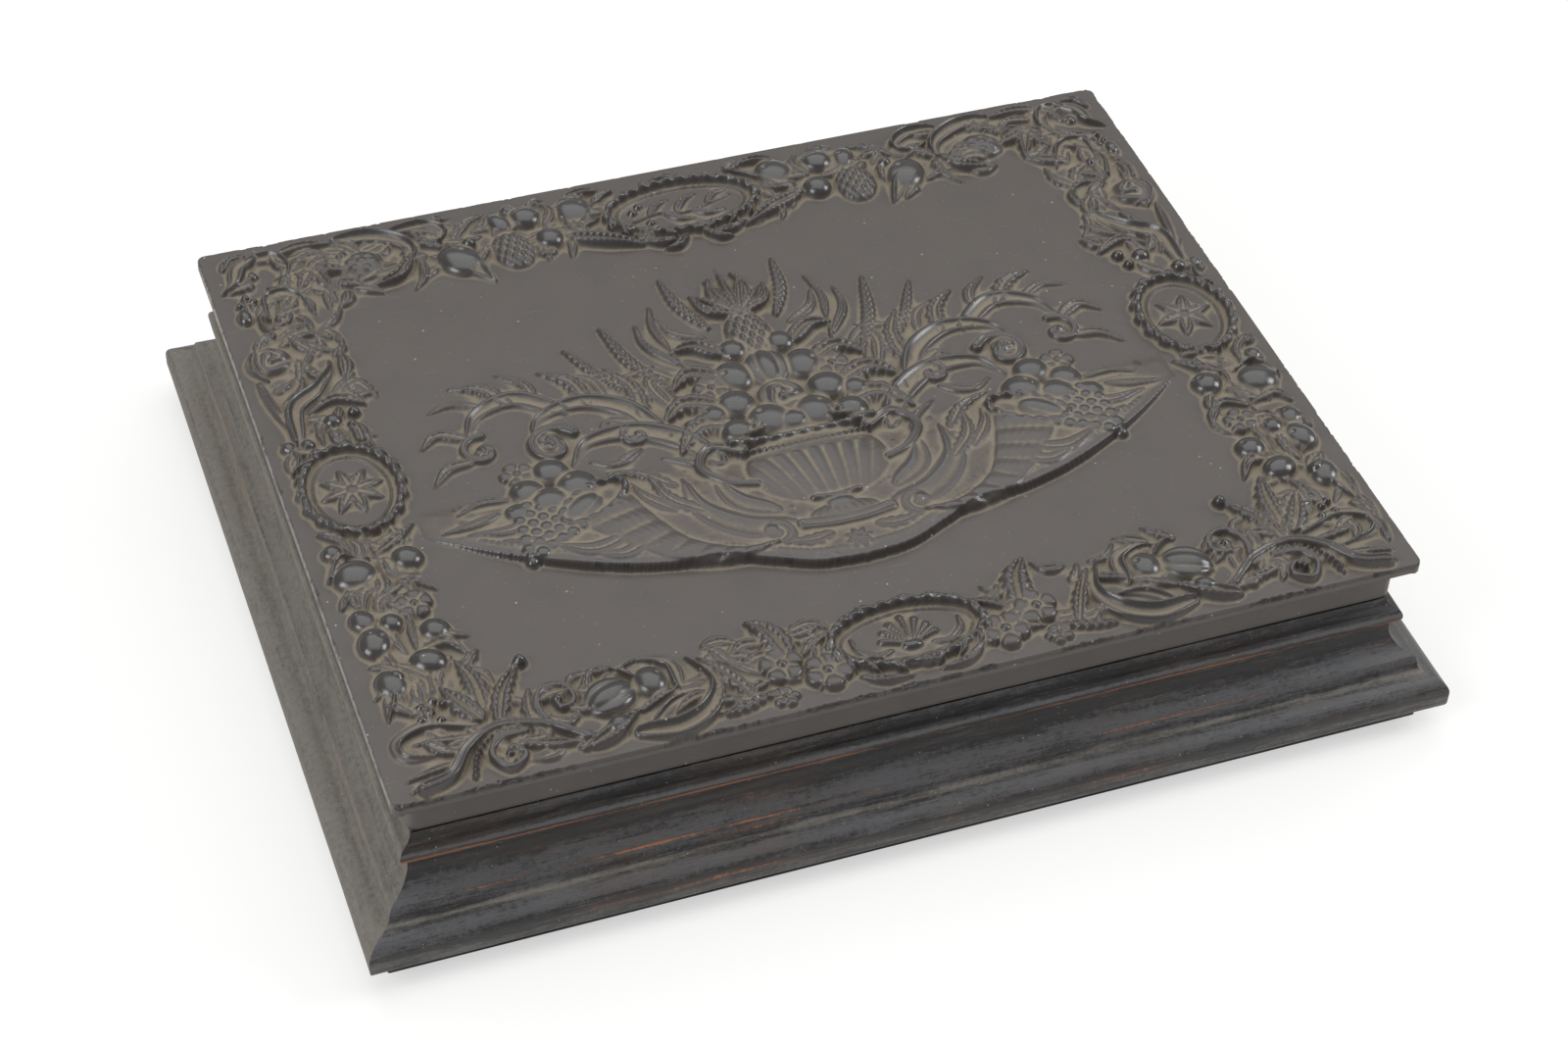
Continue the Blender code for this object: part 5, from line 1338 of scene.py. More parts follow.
def ground_leaves(random):
    """Low leaves under the garland. Each starts on the border's middle line, off it by up to
    the band's half width, and runs along it or slants across. None enters an oval."""
    middle = np.array([half_length, half_width]) - garland_middle
    for number in range(ground_leaf_count):
        side, share = random.integers(4), random.uniform(-1, 1)
        ahead = np.array([(1, 0), (0, 1), (-1, 0), (0, -1)][side])
        across = left_of(ahead)
        start = middle * (ahead * share - across) + across * random.uniform(-1, 1) * garland_reach
        turn = random.normal(0, ground_leaf_turn) + np.pi * random.integers(2)
        heading = ahead * np.cos(turn) + across * np.sin(turn)
        length = random.uniform(*ground_leaf_lengths) * mm
        bend = random.uniform(-ground_leaf_bend, ground_leaf_bend)
        bend = left_of(heading) * bend * length
        spine = np.array([start, start + heading * length / 2 + bend, start + heading * length])
        limit = np.array([half_length, half_width]) - garland_margin
        spine = np.clip(spine, -limit, limit)
        clear = all(np.hypot(*((spine - middle_of) / reach).T).min() > oval_clearance
                    for middle_of, reach in garland_ovals)
        if clear and np.all(np.max(np.abs(spine) - (limit - garland_depth), 1) > 0):
            kind = "leaf" if number % 3 else "fern"
            width = random.uniform(*ground_leaf_widths) * mm
            relief.stroke(kind, width, random.uniform(*ground_leaf_heights), spine)


garland_ovals = [(from_corner(centre, False), np.array(radii) * mm) for centre, radii in ovals]
garland_ovals.append((from_corner(ovals[2][0], True), np.array(ovals[2][1]) * mm))
random = np.random.default_rng(carver_seed)
ground_leaves(random)
for flip in (False, True):
    carve(border_strokes, border_domes, from_corner, flip, random, carver_shift * flip)
    carve([], [("plum", place, berry_radii, 0, berry_height) for place in berries],
          from_corner, flip, random, carver_shift)
    for base, length, heading, height in vine_leaves:
        vine_leaf(from_corner(base, flip), length * mm, heading, height, flip)
for centre, radii in garland_ovals:
    wreath(centre, radii)

# Emblems in the four ovals: a sprig with berries at the back, a shell in front, and a rosette
# at each end, all in low relief. Places are millimetres from the middle of the oval.
emblem_height = 0.42
shell_length, shell_drop = 8.6 * mm, 3.6 * mm
rosette_length = 7.6 * mm
sprig_strokes = [
    ("stem", 0.5, 0.34, (-13, -2.5), (-6, -1), (0, -2.4), (7, -0.6), (13, 1.4)),
    ("leaf", 1.5, 0.4, (-9, -1.6), (-6, 2.2), (-2.4, 3.8)),
    ("leaf", 1.5, 0.4, (-2, -1.6), (1.2, 2.4), (5, 4.2)),
    ("leaf", 1.4, 0.38, (-5, -1.4), (-1.6, -4.4), (2.4, -5)),
    ("leaf", 1.4, 0.38, (2, -1.8), (6, -4.2), (10.4, -3.6)),
    ("leaf", 1.3, 0.38, (6.4, -0.6), (9.2, 2.6), (13, 3.6)),
]
sprig_domes = [
    ("plum", (-12.4, 1), (1.3, 1.3), 0, 0.42),
    ("plum", (-10.4, 3), (1.2, 1.2), 0, 0.4),
    ("plum", (-9.2, -4), (1.2, 1.2), 0, 0.4),
]
shell_scrolls = [((-4.5, -3.6), (-8.5, -4.6), (-12, -1.6), (-12.6, 2.4)),
                 ((4.5, -3.6), (8.5, -4.6), (12, -1.6), (12.6, 2.4))]


def set_domes(table, middle):
    """Set a table of domes, in millimetres, round a middle in metres."""
    for kind, centre, radii, turn, height in table:
        relief.dome(kind, middle + np.array(centre) * mm, np.array(radii) * mm, turn, height)


def shell(centre, length, height):
    """Seven ribbed flutes that fan up from a hinge and widen outwards."""
    for turn in np.radians(np.linspace(-66, 66, 7)):
        ahead = circle(turn)[::-1]
        tip = centre + ahead * length * (1 - 0.25 * np.abs(ahead[0]))
        relief.stroke("horn_of_plenty", length * 0.16, height, [centre, (centre + tip) / 2, tip])
    relief.dome("fruit", centre, (length * 0.30, length * 0.16), 0, height)


def rosette(centre, length, petals, height):
    """Leaves that fan out evenly from a button."""
    for ahead in circle(np.arange(petals) * 2 * np.pi / petals + 0.2):
        relief.stroke("leaf", length * 0.30, height,
                      [centre + ahead * length * share for share in (0.1, 0.55, 1.0)])
    relief.dome("berry", centre, (length * 0.26,) * 2, 0, height * 1.15)


back_oval, front_oval, left_oval, right_oval = [centre for centre, radii in garland_ovals]
for kind, width, height, *spine in sprig_strokes:
    relief.stroke(kind, width * mm, height, back_oval + np.array(spine) * mm)
set_domes(sprig_domes, back_oval)
shell(front_oval - (0, shell_drop), shell_length, emblem_height)
for spine in shell_scrolls:
    relief.stroke("leaf", 1.4 * mm, 0.40, front_oval + np.array(spine) * mm)
rosette(left_oval, rosette_length, 8, emblem_height)
rosette(right_oval, rosette_length, 6, emblem_height)

# Centre of the relief: a bracket whose lower edge stands well clear of the panel, and on it a
# lobed urn of fruit between two horns of plenty, with scrolling leaves and ears of corn.
# Places are millimetres from the cover's middle, for the right half and its mirror image.
bracket_edge = [(0, -55.0), (11, -53.8), (21, -49.6), (30, -46.0), (42, -44.6), (55, -41.0),
                (68, -35.0), (80, -27.6), (92, -18.5)]
bracket_height = 2.30 * mm
bracket_top = -8.0 * mm
bracket_least_fade = 8.0 * mm
bracket_tip_reach = 30 * mm
bracket_pearls = 3.4
pearl_radius = 0.85 * mm
stone_floor = 0.15 * mm
stone_count = 420
stone_low, stone_high = (-0.088, -0.054), (0.088, -0.012)
stone_sizes, stone_stretch, stone_heights = (0.5, 1.5), (0.7, 1.4), (0.04, 0.11)
centre_shift = 0.25 * mm
rim_middle = (53.0, -20.4)
rim_radii = (9.6, 4.2)
rim_tilt = -30
rim_hollow = 1.0 * mm
rim_rope = 1.35 * mm
volutes = [
    (1.9, 0.66, (56, 1.2), 6.6, 150, -400), (1.5, 0.54, (71.8, 4.6), 5.2, 100, -380),
    (1.7, 0.64, (17, -42.4), 3.7, 250, -420), (1.4, 0.6, (36.5, -1), 3.6, 60, -330),
]
plenty = [("horn_of_plenty", 8.6, 0.92, (17.5, -45.5), (27, -46), (38, -41.5), (45.5, -33),
           (52, -21.5))]
centre_strokes = [
    ("horn", 4.2, 0.5, (13, -41), (22.5, -38.5), (30.5, -30), (31.5, -18)),
    ("horn", 3.4, 0.46, (15, -35), (22, -29.5), (25, -19)),
    ("fern", 2.6, 0.48, (30, -31), (36.5, -24), (38.5, -14)),
    ("fern", 2.4, 0.42, (33, -21), (39, -14), (46.5, -10.5)),
    ("leaf", 2.2, 0.44, (36, -29), (41.5, -22), (43, -15.5)),
    ("leaf", 1.8, 0.4, (24, -21), (27.5, -14), (33.5, -9.5)),
    ("leaf", 2.2, 0.36, (33, 1.5), (40.5, 6), (44, 4.5)),
    ("leaf", 2, 0.34, (36.5, -5), (43.5, -8.5), (49.5, -6)),
    ("leaf", 2.4, 0.36, (26, 6), (28.5, 15), (25.5, 22)),
    ("leaf", 2.2, 0.34, (21.5, 14.5), (27.5, 19.5), (35.5, 19)),
    ("leaf", 2, 0.36, (10.5, 27), (17.5, 31), (20, 37.5)),
    ("leaf", 1.9, 0.34, (39, 13.5), (41, 20.5), (47, 25)),
    ("leaf", 2, 0.34, (55, 17.5), (56.5, 24.5), (62, 29.5)),
    ("leaf", 1.8, 0.32, (66.5, 18), (74, 22), (80.5, 20.5)),
    ("horn", 4, 0.62, (21, -14), (27, -5), (37, 1), (48, 0.5), (53.5, -6)),
    ("horn", 3.4, 0.6, (30, -3), (36, 8.5), (46, 14), (56.5, 11.5), (60, 4.5)),
    ("horn", 3.2, 0.55, (50, 13), (60, 20), (70, 17), (74.5, 8.5)),
    ("fern", 3, 0.46, (61, 17.5), (66, 25), (73.5, 28)),
    ("fern", 3, 0.46, (44, 12), (46, 21), (52.5, 27)),
    ("fern", 3.2, 0.48, (33, 4), (32.5, 15), (37, 24)),
    ("leaf", 2.4, 0.42, (73.5, 9), (80, 12.5), (85, 9)),
    ("leaf", 2.2, 0.4, (74, 2), (80.5, 1.5), (85.5, -3.4)),
    ("ear", 2.1, 0.5, (24, 12), (30, 24), (33.5, 38)),
    ("ear", 1.9, 0.48, (29, 10), (37.5, 20), (44, 33)),
    ("ear", 2, 0.5, (8.5, 30), (13, 40), (14.6, 51)),
    ("stem", 0.6, 0.36, (18, -2), (23, 8), (27, 18)),
    ("stem", 0.5, 0.34, (14, 4), (18, 16), (21, 33)),
    ("leaf", 1.6, 0.44, (20, 26), (21.5, 34), (20, 42.5)),
    ("leaf", 1.7, 0.44, (19.4, 20), (25, 28.5), (25.4, 37)),
    ("fern", 4.2, 0.64, (14, -4), (22, -3), (29, -10.5)),
    ("fern", 4, 0.7, (15, 3), (23, 5.6), (29.5, 1)),
    ("fern", 3.6, 0.72, (11, 12), (18.5, 15), (24, 11)),
    ("leaf", 3, 0.74, (8, 19), (14, 24), (20.5, 24)),
    ("leaf", 2.4, 0.86, (5, -3), (10, -8), (16.5, -9)),
    ("leaf", 2, 0.7, (3, 33), (8, 37), (9.4, 43)),
    ("leaf", 1.8, 0.72, (1.6, 34), (4.4, 41), (3, 48.5)),
    ("band", 2, 0.8, (15.5, -14), (22.5, -11), (26.5, -17), (22, -23.5), (16, -26)),
    ("rope", 1.5, 1, (-17.5, -11.6), (-9, -12.6), (0, -12.9), (9, -12.6), (17.5, -11.6)),
    ("beads", 0.9, 0.96, (-15.5, -15.2), (-8, -16.2), (0, -16.5), (8, -16.2), (15.5, -15.2)),
    ("rope", 1.2, 0.92, (-5.4, -34.6), (0, -35.2), (5.4, -34.6)),
    ("band", 2.2, 0.86, (-10.4, -42), (-5, -43), (0, -43.3), (5, -43), (10.4, -42)),
    ("leaf", 2.6, 0.62, (48, -33), (57, -35.4), (66, -31)),
    ("leaf", 2.4, 0.6, (44, -35), (51, -38.4), (58, -36.4)),
    ("fern", 2.8, 0.58, (58, -27), (67, -29.4), (75.5, -26)),
    ("leaf", 2.2, 0.5, (66, -22), (74, -23.4), (82.5, -21.5)),
    ("leaf", 2, 0.46, (74, -17), (80.5, -19), (88, -19.4)),
    ("leaf", 1.8, 0.42, (70, -13), (77, -12.4), (83, -15)),
    ("fern", 2.4, 0.55, (5, -46.4), (11, -47.4), (17.4, -45.8)),
]
centre_domes = [
    ("urn", (0, -22.5), (16.8, 13.4), 0, 0.95),
    ("plum", (0, -37.8), (3.6, 3.2), 0, 0.86),
    ("urn", (0, -40.4), (8.6, 3.4), 180, 0.8),
    ("fruit", (5.4, -5.4), (5.8, 5.4), 20, 0.98),
    ("plum", (14, -7), (4.4, 4.2), 0, 0.9),
    ("plum", (11.4, 2.2), (5, 4.8), 0, 0.92),
    ("fruit", (17.4, -0.4), (3.6, 3.4), 0, 0.78),
    ("fruit", (8.6, 11.4), (4.8, 5.4), -20, 0.86),
    ("flower", (15, 9.2), (4.6, 4.6), 10, 0.8),
    ("plum", (6, 20.4), (3.8, 3.8), 0, 0.82),
    ("fruit", (66, -12), (4.4, 4.2), 0, 0.8),
    ("plum", (59.4, -7.2), (4.6, 4.4), 0, 0.84),
    ("fruit", (54.8, -13.6), (5.2, 5.6), 30, 1),
    ("plum", (61.8, -16.6), (5, 4.6), 0, 0.98),
    ("melon", (56.2, -21.4), (6.4, 5.2), -40, 1),
    ("flower", (66.8, -5.6), (4.4, 4.4), 0, 0.58),
    ("fruit", (69.6, -18.4), (3.6, 3.4), 0, 0.7),
    ("rose", (56.6, 2.4), (3.6, 3.6), 0, 0.74),
    ("flower", (71.4, 4), (2.6, 2.6), 0, 0.6),
    ("fruit", (17.8, -41.4), (1.8, 1.8), 0, 0.72),
]
centre_heart = [
    ("rose", (0, 1.6), (6.2, 6.2), 0, 1),
    ("melon", (0, 12.4), (6.6, 5.8), 90, 0.95),
    ("cone", (0, 25.4), (5.8, 8.6), 0, 0.92),
    ("plum", (-0.5, -7.4), (4.6, 3.8), 0, 0.95),
]
bracket_rosette = (0, -49.6)
crown_foot = (0, 32.0)
crown_leaves = [(-64, 10), (-40, 13), (-16, 16), (0, 17.5), (16, 16), (40, 13), (64, 10)]
grape_rows = [(5, 0.0), (6, 1.0), (5, 2.0), (4, 3.0), (3, 4.0), (2, 5.0), (1, 6.0)]
grape_radius = 1.75
grape_row_step, grape_side_step = 1.5, 1.75
grape_height, grape_height_fall = 0.78, 0.03
grape_top = (62.5, -20.5)
grape_fall = (0.55, -0.84)


def from_middle(place, flip):
    """A place in the centre's tables in metres, mirrored if asked."""
    return np.array([-place[0] if flip else place[0], place[1]]) * mm


def volute(width, height, centre, radius, start, sweep, flip):
    """A scroll end: the turn goes evenly from start through sweep, in degrees, while the reach
    from the centre falls evenly to a sixth."""
    share = np.linspace(0, 1, 14)
    reach = radius * (1 - 0.84 * share)
    spine = centre + circle(np.radians(start + sweep * share)) * reach[:, None]
    relief.stroke("band", width * mm, height, [from_middle(place, flip) for place in spine], flip)
    relief.dome("fruit", from_middle(centre, flip), (radius * 0.20 * mm,) * 2, 0, height)


def mouth(flip):
    """The horn's rim: a rope round a tilted ellipse, hollow inside it. A point is inside where
    it is nearer the middle than the ellipse is in its direction."""
    tilt = np.radians(rim_tilt)
    ring = circle(np.radians(np.arange(0, 360, 20))) * rim_radii
    ring = ring @ np.array([[np.cos(tilt), np.sin(tilt)], [-np.sin(tilt), np.cos(tilt)]])
    ring = np.array([from_middle(place + rim_middle, flip) for place in ring])
    middle = ring.mean(0)
    side, up = (ring - middle).T
    heading, reach = np.arctan2(up, side), np.hypot(side, up)
    order = np.argsort(heading)
    side, up = relief.x - middle[0], relief.y - middle[1]
    limit = np.interp(np.arctan2(up, side), heading[order], reach[order], period=2 * np.pi)
    hollowed = np.minimum(relief.height, rim_hollow)
    relief.height = np.where(np.hypot(side, up) < limit, hollowed, relief.height)
    relief.stroke("rope", rim_rope, 0.98, ring, closed=True)


def grapes(flip):
    """Rows of round grapes, each row shorter and further down the bunch than the last."""
    fall = np.array(grape_fall)
    side = left_of(fall)
    for number, row in grape_rows:
        for count in range(number):
            place = np.array(grape_top) + fall * row * grape_radius * grape_row_step
            aside = side * (count - (number - 1) / 2) * grape_radius * grape_side_step
            place = place + aside
            relief.dome("plum", from_middle(place, flip), (grape_radius * mm,) * 2, 0,
                        grape_height - grape_height_fall * row)


def scatter_stones(inside, random):
    """Small stones at random places where the mask of the ground allows."""
    for number in range(stone_count):
        place = random.uniform(stone_low, stone_high)
        row, column = np.searchsorted(relief.ys, place[1]), np.searchsorted(relief.xs, place[0])
        if inside[row, column]:
            radii = random.uniform(*stone_sizes) * mm * random.uniform(*stone_stretch, 2)
            relief.dome("berry" if number % 4 == 0 else "plum", place, radii,
                        random.uniform(0, 180), random.uniform(*stone_heights))


garland = relief.height
relief.height = np.zeros_like(garland)
for flip in (False, True):
    carve(plenty, [], from_middle, flip, random, 0)
    mouth(flip)
for flip in (False, True):
    carve(centre_strokes, centre_domes, from_middle, flip, random, centre_shift * flip)
    grapes(flip)
    for scroll in volutes:
        volute(*scroll, flip)
set_domes(centre_heart, 0)
rosette(np.array(bracket_rosette) * mm, 3.4 * mm, 8, 0.55)
for turn, length in crown_leaves:
    ahead = circle(np.radians(turn))[::-1]
    spine = [crown_foot + ahead * length * share for share in (0, 0.5, 1.0)]
    relief.stroke("leaf", 1.7 * mm, 0.74, np.array(spine) * mm)
edge_path = smooth_path(np.array(bracket_edge) * mm, 200)[0]
edge_level = np.interp(np.abs(relief.x), edge_path[:, 0], edge_path[:, 1], right=0)
above = relief.y - edge_level
fade = held(1 - above / np.maximum(bracket_top - edge_level, bracket_least_fade))
tip = held((edge_path[-1, 0] - np.abs(relief.x)) / bracket_tip_reach) ** 0.6
on_bracket = (above > 0) & (np.abs(relief.x) < edge_path[-1, 0])
ground = on_bracket * bracket_height * tip * fade * (2 - fade) * held(fade * 3) ** 2
scatter_stones(ground > stone_floor, random)
pearls = [(x, y + bracket_pearls) for x, y in bracket_edge[:-1]]
for flip in (False, True):
    relief.stroke("beads", pearl_radius, 0.20, [from_middle(place, flip) for place in pearls])
relief.height = relief.height + ground - relief.height * ground / relief_room
relief.height = np.minimum(np.maximum(garland, relief.height), relief_room)

# Surface of the cover. The pressing left the mould with soft edges; dust lies in its hollows,
# its high points are rubbed glossy and the flange's arris is chipped. Slopes that face the front
# and the wall of the bracket's step carry painted shade. It is made here in tiles that meet on
# grid lines, and the band under the flange is one more piece.
mould_softness = 0.20 * mm
raised_from = 0.15 * mm
enclosed_reach = 2.0 * mm
crevice_scale = (0.55 * mm, 0.20 * mm)
hollow_scale = (1.2 * mm, 0.55 * mm)
crest_scale = (0.8 * mm, 0.16 * mm)
standing_scale = (1.6 * mm, 0.55 * mm)
bracket_edge_place, bracket_edge_reach = 0.3 * mm, 1.2 * mm
clean_height = 0.5 * mm
edge_depth = 0.55 * mm
chip_seed = 23
chip_sizes = (0.35 * mm, 1.9 * mm)
dark_chip_depth = 0.10 * mm
pale_arris_reach = 0.35 * mm
front_chips, side_chips, chip_swing = 0.27, 0.08, 0.20
corner_chip, corner_chip_reach = 0.9 * mm, 4 * mm
least_chip = 0.02 * mm
same_place = 1e-6


def blurred(values, reach):
    """A Gaussian mean over reach, along each axis in turn. The grid counts as even."""
    steps = np.arange(-int(3 * reach / cell), int(3 * reach / cell) + 1)
    weight = np.exp(-(steps * cell / reach) ** 2 / 2)
    weight /= weight.sum()
    for axis in (0, 1):
        padded = np.pad(values, [(len(steps) // 2,) * 2 if k == axis else (0, 0) for k in (0, 1)],
                        mode="edge")
        values = np.apply_along_axis(lambda line: np.convolve(line, weight, "valid"), axis, padded)
    return values


def proud(reach, rise):
    """How far the relief stands above its own mean over reach, in units of rise."""
    return (relief.height - blurred(relief.height, reach)) / rise


relief.height = blurred(relief.height, mould_softness)
raised = (relief.height > raised_from).astype(float)
enclosed = held((blurred(raised, enclosed_reach) - 0.43) / 0.30)
crevice = held(-proud(*crevice_scale))
hollow = held(-proud(*hollow_scale))
crest = held(proud(*crest_scale))
standing = proud(*standing_scale)
polish = np.clip(relief.polish * np.clip(standing + 0.5, 0, 1.2), 0, 1.3)
rise_y, rise_x = np.gradient(relief.height, relief.ys, relief.xs)
# Steep marks the wall of the bracket's lower step; through the clean mark it is laid near-black as
# painted shade.
steep = held((np.hypot(rise_y, rise_x) - 0.45) / 0.5)
steep *= (np.abs(above - bracket_edge_place) < bracket_edge_reach) * (tip > 0)
# Painted shade: slopes that rise towards the back and the right face the front and the left, away
# from the light, and are laid dark.
painted_front_shade = held((rise_y * 0.85 + rise_x * 0.35 - 0.75) / 0.9)
clean_and_step_shade = np.maximum(held(standing * 0.9 + 0.25) * held(relief.height / clean_height), steep)
dust = held(crevice * 0.40 + hollow * 0.30 + enclosed * (0.30 + hollow * 0.75))
dust *= (1 - 0.9 * steep) * held(1.1 - standing * 1.3)
dust *= (1 - 0.7 * crest) * (1 - 0.6 * painted_front_shade) * (1 - 0.2 * (tip > 0))

# The flange's upper arris: a small round, broken all along by a crumbled line that is widest in
# front. Its width is a mean plus random noise blurred at two scales, so no two chips are
# alike.
inset_x = half_length - np.abs(relief.x)
inset_y = half_width - np.abs(relief.y)
inset = np.minimum(inset_x, inset_y)
random = np.random.default_rng(chip_seed)
small, large = [blurred(random.normal(size=relief.x.shape), size) for size in chip_sizes]
small, large = small / small.std(), large / large.std()
crumble = small * 0.55 + large * 0.75
in_front = (inset_y + same_place < inset_x) & (relief.y < 0)
crumble_reach = (np.where(in_front, front_chips, side_chips) + chip_swing * crumble) * mm
corner_away = np.hypot(relief.x + half_length, relief.y + half_width)
crumble_reach += held(1 - corner_away / corner_chip_reach) * corner_chip
chipped = edge_depth * held(2.6 * (1 - inset / np.maximum(crumble_reach, least_chip)))
chipped *= 0.65 + 0.35 * np.clip(small, -1, 1)
rounding = flange_round - np.sqrt(np.maximum(0, flange_round ** 2
                                            - np.maximum(0, flange_round - inset) ** 2))
level = panel_top + relief.height - rounding - chipped
corner_x, corner_y = half_length - flange_corner, half_width - flange_corner
past_x = np.maximum(0, np.abs(relief.x) - corner_x)
past_y = np.maximum(0, np.abs(relief.y) - corner_y)
squeeze = np.maximum(past_x, past_y) / np.maximum(np.hypot(past_x, past_y), tiny)
squeeze = np.where((past_x > 0) & (past_y > 0), squeeze, 1)
plan_x = np.sign(relief.x) * (np.minimum(np.abs(relief.x), corner_x) + past_x * squeeze)
plan_y = np.sign(relief.y) * (np.minimum(np.abs(relief.y), corner_y) + past_y * squeeze)
slope_y, slope_x = np.gradient(level, relief.ys, relief.xs)
facing = np.stack([-slope_x, -slope_y, np.ones_like(level)], -1)
facing /= np.linalg.norm(facing, axis=-1, keepdims=True)
chip_and_painted_shade = held(chipped / dark_chip_depth) * np.where(in_front, 1, 0.5)
# The chip mark also carries that painted shade, so the slopes facing the front take the chips'
# near-black.
chip_and_painted_shade = np.maximum(chip_and_painted_shade, 0.34 * painted_front_shade)
# A broken pale grey line along the flange's upper arris at the left end.
pale_left_arris = held(1 - inset_x / pale_arris_reach) * (relief.x < 0)
cover_marks = {"dust": dust, "polish": polish, "clean_and_step_shade": clean_and_step_shade, "chip_and_painted_shade": chip_and_painted_shade, "pale_left_arris": pale_left_arris}

moulded = Finish("moulded_cover", coat_roughness=0.20)
field_brown = (0.060, 0.0505, 0.0440)
clean_and_shade_black = (0.052, 0.047, 0.0445)
gloss_black = (0.030, 0.028, 0.027)
dust_tan = (0.225, 0.192, 0.140)
chip_and_shade_dark = (0.016, 0.014, 0.013)
scratch_and_arris_grey = (0.260, 0.250, 0.235)
speck_orange = (0.300, 0.160, 0.090)
cloudy = moulded.noise(11 * mm, 4.0)
patchy = moulded.noise(3.2 * mm, 4.0)
mist = moulded.noise(0.9 * mm, 3.0)
grit = moulded.noise(0.22 * mm, 2.0)
in_dust = moulded.attribute("dust") * (0.40 + cloudy * 0.6 + patchy * 0.8)
in_dust = (in_dust + mist.swing(0.40)).step(0.12, 0.95)
in_clean_and_step_shade = (moulded.attribute("clean_and_step_shade") + patchy.swing(0.5)).step(0.10, 0.75)
in_gloss = moulded.attribute("polish") * (0.25 + patchy * 0.7 + cloudy * 0.8)
in_gloss = (in_gloss + mist.swing(0.35)).step(0.25, 0.95)
in_chip_and_shade = moulded.attribute("chip_and_painted_shade") * (0.20 + mist * 1.5)
in_pale_left_arris = moulded.attribute("pale_left_arris") * moulded.noise(2.5 * mm, 3.0).step(0.36, 0.52)
hairline = moulded.noise(0.5 * mm, 1.0, (0.05, 1.0, 1.0)).step(0.72, 0.76)
# The chip layer lays both the real chips and the painted shade on front-facing slopes; the clean
# layer lays the clean high points and the painted shade on the bracket's step.
colour = moulded.layers(
    field_brown, (cloudy.swing(1.1) + mist.swing(0.5), clean_and_shade_black),
    (hairline * 0.12, scratch_and_arris_grey), (in_clean_and_step_shade * 0.75, clean_and_shade_black), (in_gloss, gloss_black),
    (in_dust * 0.68, dust_tan), (in_chip_and_shade * 0.8, chip_and_shade_dark), (in_pale_left_arris * 0.6, scratch_and_arris_grey),
    (moulded.specks(1.5 * mm, 0.014) * 0.6, speck_white),
    (moulded.specks(0.8 * mm, 0.030) * 0.35, speck_white),
    (moulded.specks(1.9 * mm, 0.0008) * 0.8, speck_orange))
rough = 0.44 + cloudy.swing(0.22) + grit.swing(0.10) + in_dust * 0.30
rough = rough - in_clean_and_step_shade * 0.13 - in_gloss * 0.07 - in_chip_and_shade * 0.10
moulded.feed(base_color=colour, roughness=rough, coat_weight=in_gloss * 0.4,
             normal=moulded.bump(grit * 0.6 + mist * 0.6 - hairline * 0.3, 0.035 * mm))


skirt_shares = (0.35, 0.8, 1.0)
tile_foot = 0.25 * mm


def tile(name, rows, columns):
    """A closed slab of the panel between grid lines: the relief on top, upright sides and a
    flat underside at the ceiling. The flange's faces, which are the outer sides, draw in at
    their foot. The top keeps the normals of the whole surface, so that no joint shows."""
    window = (slice(rows[0], rows[1] + 1), slice(columns[0], columns[1] + 1))
    top = np.stack([plan_x[window], plan_y[window], level[window]], -1)
    high, wide = top.shape[:2]
    number = np.arange(high * wide).reshape(high, wide)
    rim = np.concatenate([number[0, :-1], number[:-1, -1], number[-1, :0:-1], number[:0:-1, 0]])
    edge = top.reshape(-1, 3)[rim]
    fall = ceiling + tile_foot - edge[:, 2]
    skirts = [edge + np.outer(fall * share, (0, 0, 1)) for share in skirt_shares]
    inner = 1 - tile_foot / np.abs(edge[:, :2]).clip(0.1 * mm)
    is_outer = np.abs(np.abs(edge[:, :2]) - (half_length, half_width)) < same_place
    foot = at_height(np.where(is_outer, edge[:, :2] * inner, edge[:, :2]), ceiling)
    skirts.append(foot)
    around = len(rim)
    points = np.concatenate([top.reshape(-1, 3), *skirts, foot.mean(0)[None]])
    start = high * wide
    here = np.arange(around)
    after = (here + 1) % around
    walls = [np.stack([rim[after], rim[here], start + here, start + after], 1)]
    for count in range(len(skirts) - 1):
        lower = start + count * around
        walls.append(np.stack([lower + after, lower + here, lower + around + here,
                               lower + around + after], 1))
    last = start + (len(skirts) - 1) * around
    fan = np.stack([last + after, last + here, np.full(around, len(points) - 1)], 1)
    quads = grid_faces(high, wide)
    mesh = mesh_of(name, points, quads, *walls, fan)
    filler = np.zeros(len(points) - start)
    number_points(mesh, **{mark: np.append(values[window].ravel(), filler)
                           for mark, values in cover_marks.items()})
    piece(mesh, moulded, "lid", ["cover"], 50)
    normals = np.zeros((len(mesh.loops), 3))
    normals[:len(quads) * 4] = facing[window].reshape(-1, 3)[quads.ravel()]
    mesh.normals_split_custom_set(normals)


cuts_across = (-88.5 * mm, -44.3 * mm, 0, 44.3 * mm, 88.5 * mm)
cuts_down = (-63.5 * mm, 63.5 * mm)
across = [0, *np.searchsorted(relief.xs, cuts_across), len(relief.xs) - 1]
down = [0, *np.searchsorted(relief.ys, cuts_down), len(relief.ys) - 1]
for name, rows in (("front", down[:2]), ("back", down[2:])):
    tile(f"cover_{name}_border_left", rows, (0, across[3]))
    tile(f"cover_{name}_border_right", rows, (across[3], across[6]))
for name, left, right in zip(("left_border", "centre_1", "centre_2", "centre_3", "centre_4",
                              "right_border"), across, across[1:]):
    tile(f"cover_{name}", down[1:3], (left, right))


band_wave_depth = 0.08 * mm
band_wave_size = 40 * mm


